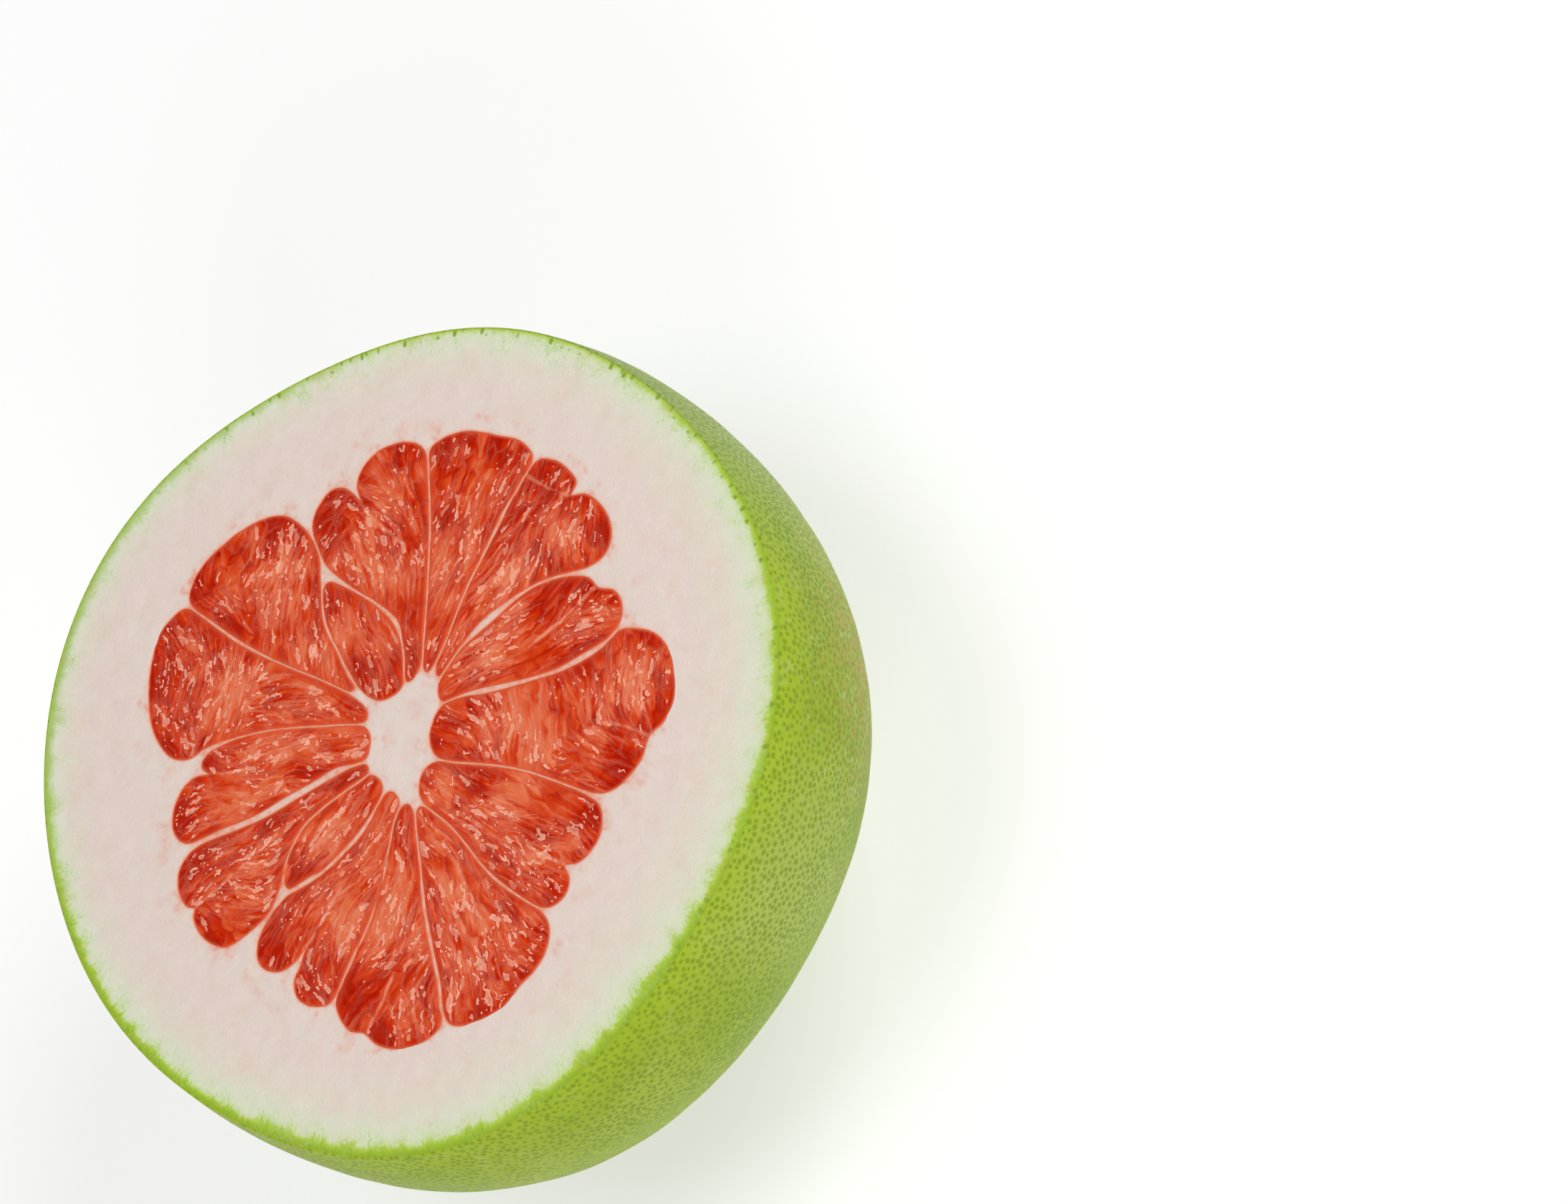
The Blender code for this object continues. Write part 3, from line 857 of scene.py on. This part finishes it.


# %% [markdown]
# ## Flesh material
# Juice sacs are clear skins full of red juice: wet, smooth and slightly see-through. The colour
# runs from deep red to hazy coral, the flecks are painted pale pink highlights, and a coral glow
# follows the walls. The roughness is low, so the surface looks wet, and some light scatters inside.

# %% Wet flesh
flesh_material, tree, shader, spot = new_material("wet_pomelo_flesh", {
    "Roughness": 0.20, "Specular IOR Level": 0.10, "IOR": 1.37, "Subsurface Weight": 0.04,
    "Subsurface Radius": (1.0, 0.25, 0.15), "Subsurface Scale": 1.5 * MM,
})
grown = {
    name: add(tree, "Attribute", {"attribute_name": name}).outputs["Fac"]
    for name in ("deep", "glint_fleck", "power", "haze", "rim", "line")
}
grit = add(tree, "TexNoise", None, {"Vector": spot, "Scale": 1.0 / 0.6, "Detail": 3.0})
deep_varied = add(tree, "Math", {"operation": "MULTIPLY_ADD"}, (grit, 0.16, grown["deep"]))
FLESH_RAMP = ((0.0, "#E26E46"), (0.28, "#DA4E24"), (0.52, "#CE360A"), (0.78, "#C22200"), (1.0, "#AE1600"))
look = colour_ramp(tree, combined(tree, "SUBTRACT", deep_varied, 0.08), FLESH_RAMP)
# a fleck is a painted highlight with a crisp edge, brightest at its edge, where its skin is seen edge on
glint_frayed = add(tree, "Math", {"operation": "MULTIPLY_ADD"}, (grit, 0.24, grown["glint_fleck"]))
glint_edge = add(tree, "MapRange", SOFT, (glint_frayed, 0.54, 0.70))
glint_inside = add(tree, "MapRange", SOFT, (grown["glint_fleck"], 0.58, 0.95, 1.0, 0.60))
painted_glint_cover = combined(tree, "MULTIPLY", glint_edge, glint_inside, grown["power"])
LAYERS = (
    (grown["haze"], "#E48262"), (grown["line"], "#F09C7C"),
    (painted_glint_cover, "#FFC6AC"), (grown["rim"], "#E4603C"),
)
for cover, code in LAYERS:
    look = layer_over(tree, look, cover, code)
tree.links.new(look, shader.inputs["Base Color"])
bump(tree, shader, grit, 0.10, 0.2)

# %% Make the segments
CUT_LAYERS = (
    # name, map, and the value below the cut
    ("deep", deep, 0.6), ("glint_fleck", glint_flecks, 0.0), ("power", glint_power, 0.0), ("haze", 0.75 * haze, 0.0),
    ("line", pale_lines, 0.0), ("rim", rim_line, 1.0),
)
for name, ring in zip(SEGMENT_NAMES, outlines):
    piece = finish_piece(f"{name}_flesh", flesh_body(ring), [flesh_material])
    mesh = piece.data
    spots = points_of(mesh)
    x, y = spots[:, 0], spots[:, 1]
    top = spots[:, 2] > HEIGHT - 0.1
    spots[top, 2] += read_map(relief, x[top], y[top])
    mesh.vertices.foreach_set("co", (spots * MM).astype(np.float32).ravel())
    for layer, grid, below in CUT_LAYERS:
        store(mesh, layer, np.where(top, read_map(grid, x, y), below))
    mesh.update()
    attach(piece, "root")
    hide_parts(name)
    print(name, "triangles", len(mesh.loop_triangles) or len(mesh.polygons))

# %% [markdown]
# ## Pith
# The white pith is spongy and dry. One closed body holds the band under the skin, the core and the
# thin walls. Its sheet has small triangles near the segments, where the walls are narrow, and
# larger ones in the band. The pockets are the segments' outlines drawn down, a hair wider.

# %% Pith body
SKIN_WIDTH = 0.35
HAIR = 0.02
MAPPED = 62.0                  # how far from the middle the maps are read, in mm
pith_rings = [let_out(ring, HAIR) for ring in outlines]
turn = np.linspace(0.0, math.tau, 1100, endpoint=False)
outer_ring = place(CUT_RADIUS - SKIN_WIDTH + 0.04, turn, HEIGHT)[:, :2]


def pith_points():
    """Fine points near the flesh and the skin, coarse ones between."""
    made = []
    for step, low, high in ((0.38, 0.0, 3.2), (0.8, 3.2, 99.0)):
        points = spread_points((-86.0, -88.0), (86.0, 88.0), step)
        x, y = points[:, 0], points[:, 1]
        depth = skin_depth(x, y)
        near_flesh = np.where(np.hypot(x, y) < MAPPED, read_map(border, x, y), 9.0)
        in_flesh = (np.hypot(x, y) < MAPPED) & (read_map(owner.astype(float), x, y) > 0.01)
        closeness = np.minimum(near_flesh, depth - SKIN_WIDTH)
        keep = (depth > SKIN_WIDTH + 0.3) & ~in_flesh & (near_flesh > 0.8)
        keep &= (closeness >= low) & (closeness < high)
        made.append(points[keep])
    for ring in pith_rings:
        made.append(rows_along(ring, (0.16, 0.34, 0.58)))
    return np.concatenate(made)


def moved_in(steps, distance):
    """The skin's profile moved into the fruit, from just below the cut to the flat spot."""
    radius, height = profile(steps)
    along_r, along_z = np.gradient(radius), np.gradient(height)
    size = np.hypot(along_r, along_z)
    radius, height = radius + along_z / size * distance, height - along_r / size * distance
    radius[-1] -= 0.3 * distance
    height[-1] = distance
    return radius[1:], height[1:]


def wall_move(radius, height):
    """Move a ring to one row of the moved-in profile."""
    def move(co):
        angle = math.atan2(co.y - MIDDLE[1] - LEAN[1] * (1 - co.z / HEIGHT),
                           co.x - MIDDLE[0] - LEAN[0] * (1 - co.z / HEIGHT))
        return Vector(place(radius, angle, height))
    return move


def pith_body():
    """The top sheet, the outer wall and the pockets."""
    made = sheet_between([outer_ring] + pith_rings, pith_points(), HEIGHT)
    rims = [edge for edge in made.edges if edge.is_boundary]
    outer = [edge for edge in rims if skin_depth(*edge.verts[0].co.xy) < 1.0]
    for edge in outer:
        edge.smooth = False
    for radius, height in zip(*moved_in(10, SKIN_WIDTH + HAIR + 0.4)):
        outer = draw_down(made, outer, wall_move(radius, height))
    tree_of_rings = kdtree.KDTree(sum(len(ring) for ring in pith_rings))
    for number, ring in enumerate(pith_rings):
        for x, y in ring:
            tree_of_rings.insert((x, y, 0.0), number)
    tree_of_rings.balance()
    pockets = {}
    for edge in rims:
        if skin_depth(*edge.verts[0].co.xy) > 1.0:
            number = tree_of_rings.find((*edge.verts[0].co.xy, 0.0))[1]
            pockets.setdefault(number, []).append(edge)
    levels = (0.0,) + SEGMENT_LEVELS
    for number, ring in pockets.items():
        centre = centre_of(outlines[number])
        for before, after in zip(levels, levels[1:]):
            ring = draw_down(made, ring, level_move(centre, before, after))
    close_up(made)
    return made


# %% [markdown]
# ## Pith material
# Pith is a dry sponge, so it is matt. Under the skin it is stained green by the oil: first a bright
# yellow-green band with darker oil glands in it, then fine green hairs that point inwards, then
# a faint green that fades into pinkish white. Red juice stains it near the segments.

# %% Dry pith with its green edge
pith_material, tree, shader, spot = new_material("dry_white_pith", {
    "Roughness": 0.72, "Subsurface Weight": 0.15,
    "Subsurface Radius": (1.0, 0.7, 0.55), "Subsurface Scale": 1.2 * MM,
})
depth, stain, wall = (
    add(tree, "Attribute", {"attribute_name": name}).outputs["Fac"]
    for name in ("skin_depth", "stain", "wall")
)
flat_spot = add(tree, "VectorMath", {"operation": "MULTIPLY"}, (spot, (1.0, 1.0, 0.0)))
around = add(tree, "VectorMath", {"operation": "NORMALIZE"}, (flat_spot,))
around = add(tree, "VectorMath", {"operation": "SCALE"}, {0: around, "Scale": CUT_RADIUS})
sunk = add(tree, "CombineXYZ", None, {"Z": depth})


def unrolled(stretch):
    """The edge unrolled: a place along it and in from the skin, with patterns stretched inwards."""
    slow = add(tree, "VectorMath", {"operation": "SCALE"}, {0: sunk, "Scale": stretch})
    return add(tree, "VectorMath", {"operation": "ADD"}, (around, slow))


def toward(x, y, start, end, low, high):
    """A value that goes from low to high as the edge turns to face the direction x, y."""
    way = add(tree, "VectorMath", {"operation": "DOT_PRODUCT"}, (around, (x, y, 0.0))).outputs["Value"]
    return add(tree, "MapRange", SOFT, (way, start * CUT_RADIUS, end * CUT_RADIUS, low, high))


# hairs and tufts shift the green band's colours by up to a few millimetres, least at the skin
hair_spot = unrolled(0.6)
hairs = add(tree, "TexNoise", None,
            {"Vector": hair_spot, "Scale": 1.0 / 0.55, "Detail": 3.0, "Roughness": 0.65})
tufts = add(tree, "TexNoise", None, {"Vector": hair_spot, "Scale": 1.0 / 3.5, "Detail": 2.0})
hair_reach = add(tree, "MapRange", None, (hairs, 0.35, 0.75, 0.6, -0.8))
tuft_reach = add(tree, "MapRange", None, (tufts, 0.3, 0.7, 0.9, -0.8))
edge_hold = add(tree, "MapRange", None, (depth, 0.6, 3.2, 0.25, 1.2))
shift = combined(tree, "MULTIPLY", combined(tree, "ADD", hair_reach, tuft_reach), edge_hold)
# the band is narrowest on the +X side and widest on the -X side
narrowing = toward(0.93, 0.37, 0.2, 0.9, 0.0, 0.65)
widening = toward(0.93, 0.37, -0.9, 0.1, -0.7, 0.0)
shifted = combined(tree, "ADD", depth, shift, narrowing, widening)
GREEN_REACH = 14.0
EDGE_RAMP = (
    # depth in mm, and colour
    (0.0, "#92B21C"), (0.9, "#A5C52A"), (1.35, "#B6D058"), (1.8, "#CDDCA0"), (2.8, "#D8E1BE"),
    (4.8, "#DEE0C9"), (8.0, "#E2D9C9"), (14.0, "#E5D4CA"),
)
along_y = add(tree, "SeparateXYZ", None, (around,)).outputs["Y"]
REACH_SHARES = (1.35, 0.75)    # the green reaches further in on the -Y side than on the +Y side
spread_ends = (1.0 / (share * GREEN_REACH) for share in REACH_SHARES)
spread = add(tree, "MapRange", None, (along_y, -CUT_RADIUS, CUT_RADIUS, *spread_ends))
look = colour_ramp(tree, combined(tree, "MULTIPLY", shifted, spread),
                   [(at / GREEN_REACH, code) for at, code in EDGE_RAMP])
# on the +Y side the skin is cut at a slant, so that its green shows as a broad soft band
slant = add(tree, "MapRange", SOFT, (shifted, 3.6, 0.4, 0.0, 0.8))
slant = combined(tree, "MULTIPLY", slant, toward(0.1, 0.995, 0.45, 0.95, 0.0, 1.0))
look = layer_over(tree, look, slant, "#A6C268")

# wisps: thin crooked green fibres that reach further in
wisp_noise = add(tree, "TexNoise", None,
                 {"Vector": hair_spot, "Scale": 1.0 / 1.6, "Detail": 2.0, "Distortion": 1.2})
wisp_thin = add(tree, "MapRange", SOFT, (gap_between(tree, wisp_noise, 0.5), 0.040, 0.0, 0.0, 0.8))
wisp_zone = add(tree, "MapRange", SOFT, (depth, 8.0, 1.5))
wisp_patch = add(tree, "MapRange", SOFT, (tufts, 0.40, 0.60))
look = layer_over(tree, look, combined(tree, "MULTIPLY", wisp_thin, wisp_zone, wisp_patch), "#A9CB6A")

# knots: oil glands that the knife went through, a row of darker dots just inside the skin
GLAND_SPACING = 1.9
glands = add(tree, "TexVoronoi", None,
             {"Vector": unrolled(0.5), "Scale": 1.0 / GLAND_SPACING, "Randomness": 0.75})
knot = add(tree, "MapRange", SOFT, (glands, 0.34, 0.18))
knot_row = add(tree, "MapRange", SOFT, (depth, 1.9, 1.4))
knots = combined(tree, "MULTIPLY", knot, knot_row, toward(0.96, -0.27, -0.3, 0.5, 0.25, 1.0))
look = layer_over(tree, look, knots, "#86A624")

PITH_PATCHES = (
    # size in mm, detail, roughness, where the noise starts and ends, strength, colour
    (3.0, 4.0, 0.6, 0.45, 0.75, 0.35, "#ECE1D8"),
    (0.45, 3.0, 0.7, 0.50, 0.75, 0.30, "#D3BFB2"),
)
white_zone = add(tree, "MapRange", SOFT, (depth, 2.0, 6.0))
for size, detail, roughness, start, end, strength, code in PITH_PATCHES:
    patches = add(tree, "TexNoise", None,
                  {"Vector": spot, "Scale": 1.0 / size, "Detail": detail, "Roughness": roughness})
    mask = add(tree, "MapRange", None, (patches, start, end, 0.0, strength))
    look = layer_over(tree, look, combined(tree, "MULTIPLY", mask, white_zone), code)
for cover, code in ((wall, "#EE916F"), (stain, "#E58E72")):
    look = layer_over(tree, look, cover, code)
tree.links.new(look, shader.inputs["Base Color"])
sponge = add(tree, "TexNoise", None, {"Vector": spot, "Scale": 1.0 / 0.7, "Detail": 5.0, "Roughness": 0.7})
bump(tree, shader, sponge, 0.5, 0.25)

# %% Make the pith
def cloudy(places, size, shift, *kind):
    """Soft random values in space, in patches about one size across in mm."""
    start = Vector(shift)
    return np.array([noise.fractal(Vector(point) / size + start, *kind) for point in places])


pith = finish_piece("pith_body", pith_body(), [pith_material])
mesh = pith.data
spots = points_of(mesh)
x, y = spots[:, 0], spots[:, 1]
top = spots[:, 2] > HEIGHT - 0.1
depth_in = np.where(top, skin_depth(x, y), 30.0)
reachable = np.hypot(x, y) < MAPPED
edge = np.where(reachable, read_map(border, x, y), 9.0)
sponge_map = cloudy(spots, 5.0, (0.0, 0.0, 0.0), 0.8, 2.2, 4)
lift = 0.12 * sponge_map * np.clip(edge / 2.0, 0.1, 1.0) - 0.13 * np.exp(-(edge / 0.25) ** 2)
lift *= smooth_step(0.4, 2.0, depth_in)
lift += 0.01 * (1.0 - smooth_step(0.4, 1.0, depth_in))
spots[top, 2] += lift[top]
mesh.vertices.foreach_set("co", (spots * MM).astype(np.float32).ravel())
patch = cloudy(spots, 1.3, (9.0, 2.0, 5.0), 0.9, 2.1, 3)
smears = cloudy(spots, 5.0, (3.0, 8.0, 1.0), 0.9, 2.1, 3)
smears = smooth_step(0.0, 0.6, smears) * (0.35 + 0.65 * smooth_step(-0.1, 0.6, patch))
stain_map = 0.40 * np.exp(-edge / 0.9) * smooth_step(0.1, 0.6, patch) + 0.85 * np.exp(-edge / 4.5) * smears
wall_width = edge + np.where(reachable, read_map(next_border, x, y), 9.0)
thin_wall = 1.0 - smooth_step(0.7, 2.2, wall_width)
wall_map = 0.9 * np.exp(-(edge / 0.30) ** 2) + 0.12 * np.exp(-edge / 1.0)
wall_map = np.maximum(wall_map, thin_wall * (0.58 + 0.42 * smooth_step(-0.4, 0.4, patch)))
store(mesh, "skin_depth", depth_in)
store(mesh, "stain", np.where(top, np.clip(stain_map, 0.0, 0.9), 0.3))
store(mesh, "wall", np.where(top, wall_map, 0.5))
mesh.update()
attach(pith, "root")
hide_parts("pith")
print("pith faces", len(mesh.polygons))

# %% [markdown]
# ## Rind
# The peel is dotted with oil glands, just over a millimetre apart, each a darker dot in
# a shallow dimple. They are thrown one by one onto the form, and kept where they have room, which
# gives the even but never regular spacing that glands have. The bowl starts as an icosphere
# whose upper half is cut away, because its triangles are even all over.

# %% Scatter the oil glands
GLAND_GAP = 1.06
SKIN_TRIES = 240000
fine_radius, fine_height = profile(400)
arc = np.concatenate([[0.0], np.cumsum(np.hypot(np.diff(fine_radius), np.diff(fine_height)))])
full_arc = arc[-1] + FLAT_RADIUS


def on_skin(along, angle):
    """A place on the skin from its distance along the profile, from the cut to the pole."""
    radius = np.where(along < arc[-1], np.interp(along, arc, fine_radius), full_arc - along)
    height = np.where(along < arc[-1], np.interp(along, arc, fine_height), 0.0)
    return place(radius, angle, height)


def scatter_glands():
    """Points on the skin, no two closer than the gap."""
    along = chance.uniform(0.0, full_arc, SKIN_TRIES)
    radius = np.where(along < arc[-1], np.interp(along, arc, fine_radius), full_arc - along)
    fair = chance.random(SKIN_TRIES) < radius / fine_radius.max()
    spots = on_skin(along[fair], chance.uniform(0.0, math.tau, fair.sum()))
    room = GLAND_GAP * chance.uniform(0.95, 1.12, len(spots))
    cells = np.floor(spots / 2.0).astype(int)
    filled = {}
    kept = []
    for k, (cell, spot) in enumerate(zip(map(tuple, cells), spots.tolist())):
        x, y, z = spot
        free = True
        for i in (-1, 0, 1):
            for j in (-1, 0, 1):
                for m in (-1, 0, 1):
                    for a, b, c in filled.get((cell[0] + i, cell[1] + j, cell[2] + m), ()):
                        if (a - x) ** 2 + (b - y) ** 2 + (c - z) ** 2 < room[k] ** 2:
                            free = False
        if free:
            filled.setdefault(cell, []).append((x, y, z))
            kept.append(k)
    return spots[kept]


gland_spots = scatter_glands()
gland_sizes = chance.uniform(0.50, 0.94, len(gland_spots))
gland_tree = kdtree.KDTree(len(gland_spots))
for k, spot in enumerate(gland_spots):
    gland_tree.insert(spot, k)
gland_tree.balance()
print("oil glands", len(gland_spots))


# %% Rind body
def rind_body():
    """Half an icosphere laid on the form, with its cut edge turned in and a wall inside."""
    made = bmesh.new()
    bmesh.ops.create_icosphere(made, subdivisions=8, radius=1.0)
    bmesh.ops.bisect_plane(made, geom=made.verts[:] + made.edges[:] + made.faces[:], dist=5e-4,
                           plane_co=(0.0, 0.0, 0.0), plane_no=(0.0, 0.0, 1.0), clear_outer=True)
    ball = np.array([tuple(vert.co) for vert in made.verts])
    ball /= np.linalg.norm(ball, axis=1)[:, None]
    below = np.arcsin(np.clip(-ball[:, 2], 0.0, 1.0)) / (0.5 * math.pi)
    spots = on_skin(below * full_arc, np.arctan2(ball[:, 1], ball[:, 0]))
    for vert, spot in zip(made.verts, spots):
        vert.co = spot
    made.normal_update()
    for vert in made.verts:
        near = gland_tree.find(vert.co)
        pit = max(0.0, 1.0 - near[2] / 0.65)
        waves = noise.fractal(vert.co / 14.0, 1.0, 2.0, 2)
        sink = 0.10 * pit * pit * (3.0 - 2.0 * pit) + 0.16 * (waves + 0.6)
        sink *= 0.25 + 0.75 * min(1.0, (HEIGHT - vert.co.z) / 3.0)
        if vert.co.z > 0.3:
            vert.co -= vert.normal * sink
        if vert.is_boundary:
            vert.co.z = HEIGHT
    rims = [edge for edge in made.edges if edge.is_boundary]
    for edge in rims:
        edge.smooth = False
    rims = draw_down(made, rims, wall_move(CUT_RADIUS - SKIN_WIDTH, HEIGHT))
    for edge in rims:
        edge.smooth = False
    for radius, height in zip(*moved_in(8, SKIN_WIDTH + 0.25)):
        rims = draw_down(made, rims, wall_move(radius, height))
    close_up(made)
    return made


# %% [markdown]
# ## Rind material
# Peel is a waxy yellow-green skin. Each face knows its three nearest oil glands, so the shader can
# draw every dot as a crisp, slightly ragged spot. Slow blotches, scuffs, russet streaks and a
# fine net of paler lines between the glands keep it from looking printed. Two soft zones on the
# side are a painted sheen.

# %% Waxy peel
peel_material, tree, shader, spot = new_material("waxy_pomelo_peel", {
    "Roughness": 0.45, "Specular IOR Level": 0.12,
})
ragged = add(tree, "TexNoise", None, {"Vector": spot, "Scale": 1.0 / 0.7, "Detail": 1.0}).outputs["Color"]
centred = add(tree, "VectorMath", {"operation": "SUBTRACT"}, (ragged, (0.5, 0.5, 0.5)))
offset = add(tree, "VectorMath", {"operation": "SCALE"}, {0: centred, "Scale": 0.55})
frayed = add(tree, "VectorMath", {"operation": "ADD"}, (spot, offset))


def gland_dot(name):
    """How far a point is inside one of its glands, from 0 outside to 1, and how far it is away."""
    middle = add(tree, "Attribute", {"attribute_name": f"{name}_spot"}).outputs["Vector"]
    size = add(tree, "Attribute", {"attribute_name": f"{name}_size"}).outputs["Fac"]
    away = add(tree, "VectorMath", {"operation": "DISTANCE"}, (frayed, middle)).outputs["Value"]
    return add(tree, "MapRange", SOFT, (away, size, combined(tree, "MULTIPLY", size, 0.25))), away


def round_zone(middle, radius, strength):
    """A soft round zone of the skin, from its middle out to a radius in mm."""
    away = add(tree, "VectorMath", {"operation": "DISTANCE"}, (spot, middle)).outputs["Value"]
    return add(tree, "MapRange", SOFT, (away, radius, 0.2 * radius, 0.0, strength))


(first_dot, first_away), (other_dot, other_away), (third_dot, _) = map(gland_dot, ("first", "other", "third"))
dots = combined(tree, "MAXIMUM", first_dot, other_dot, third_dot)
net = add(tree, "MapRange", SOFT, (gap_between(tree, first_away, other_away), 0.42, 0.0))

# the ground colour, yellower near the cut, and greyer on the +X side, where a painted sheen lies over the
# skin's duller tone
slow = add(tree, "TexNoise", None, {"Vector": spot, "Scale": 1.0 / 22.0, "Detail": 3.0})
look = colour_ramp(tree, slow, ((0.32, "#89A514"), (0.68, "#99B02A")))
height = add(tree, "SeparateXYZ", None, (spot,)).outputs["Z"]
near_cut = add(tree, "MapRange", SOFT, (height, HEIGHT - 11.0, HEIGHT - 1.0, 0.0, 0.65))
look = layer_over(tree, look, near_cut, "#A3BD1C")
# painted sheen: a greyer zone on the +X side
look = layer_over(tree, look, round_zone((80.0, -14.0, 74.0), 60.0, 0.85), "#899E54")
small = add(tree, "TexNoise", None, {"Vector": spot, "Scale": 1.0 / 1.1, "Detail": 3.0, "Roughness": 0.6})
look = layer_over(tree, look, add(tree, "MapRange", None, (small, 0.42, 0.72, 0.0, 0.42)), "#AABC42")

# the pale net between the glands, in patches and in two zones
net_noise = add(tree, "TexNoise", None, {"Vector": spot, "Scale": 1.0 / 16.0, "Detail": 3.0})
net_patches = add(tree, "MapRange", SOFT, (net_noise, 0.42, 0.62, 0.04, 0.26))
low_zone = round_zone((8.0, -84.0, 64.0), 34.0, 0.36)
far_zone = round_zone((72.0, -34.0, 70.0), 46.0, 0.50)
net_zone = combined(tree, "ADD", net_patches, low_zone, far_zone)
away_from_cut = add(tree, "Math", {"operation": "SUBTRACT"}, (1.0, near_cut))
look = layer_over(tree, look, combined(tree, "MULTIPLY", net, net_zone, away_from_cut), "#C0CE7C")
# painted sheen: a lighter zone on the -Y side
look = layer_over(tree, look, round_zone((8.0, -84.0, 66.0), 26.0, 0.40), "#A9BC62")

# russet and rubbed streaks on the side, then the dots, then pale scuffs over all
streaks = add(tree, "TexNoise", None, {"Vector": spot, "Scale": 1.0 / 2.6, "Detail": 4.0, "Roughness": 0.65})
STREAKS = (
    # where the noise starts and ends, the zone's middle, radius and strength, colour
    (0.40, 0.60, (48.0, -67.0, 53.0), 32.0, 0.80, "#B69C4A"),
    (0.46, 0.34, (44.0, -70.0, 56.0), 44.0, 0.55, "#BEC67C"),
)
for start, end, middle, radius, strength, code in STREAKS:
    streak = add(tree, "MapRange", SOFT, (streaks, start, end))
    streak = combined(tree, "MULTIPLY", streak, round_zone(middle, radius, strength))
    look = layer_over(tree, look, streak, code)
look = layer_over(tree, look, combined(tree, "MULTIPLY", dots, 0.68), "#708A14")
scuff = add(tree, "TexNoise", None,
            {"Vector": spot, "Scale": 1.0 / 9.0, "Detail": 6.0, "Roughness": 0.7, "Distortion": 0.6})
look = layer_over(tree, look, add(tree, "MapRange", None, (scuff, 0.56, 0.74, 0.0, 0.34)), "#BCC674")
tree.links.new(look, shader.inputs["Base Color"])
relief_height = add(tree, "Math", {"operation": "MULTIPLY_ADD"}, (dots, -0.7, small))
bump(tree, shader, relief_height, 0.45, 0.22)

# %% Make the rind
rind = finish_piece("rind_peel", rind_body(), [peel_material])
mesh = rind.data
count = len(mesh.polygons)
centres = np.empty(count * 3, dtype=np.float32)
mesh.polygons.foreach_get("center", centres)
centres = centres.reshape(-1, 3) / MM
nearest_glands = np.array([[found[1] for found in gland_tree.find_n(centre, 3)] for centre in centres])
for column, name in enumerate(("first", "other", "third")):
    store(mesh, f"{name}_spot", gland_spots[nearest_glands[:, column]], "FACE")
    store(mesh, f"{name}_size", gland_sizes[nearest_glands[:, column]], "FACE")
mesh.update()
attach(rind, "root")
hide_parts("rind")
print("rind faces", count)
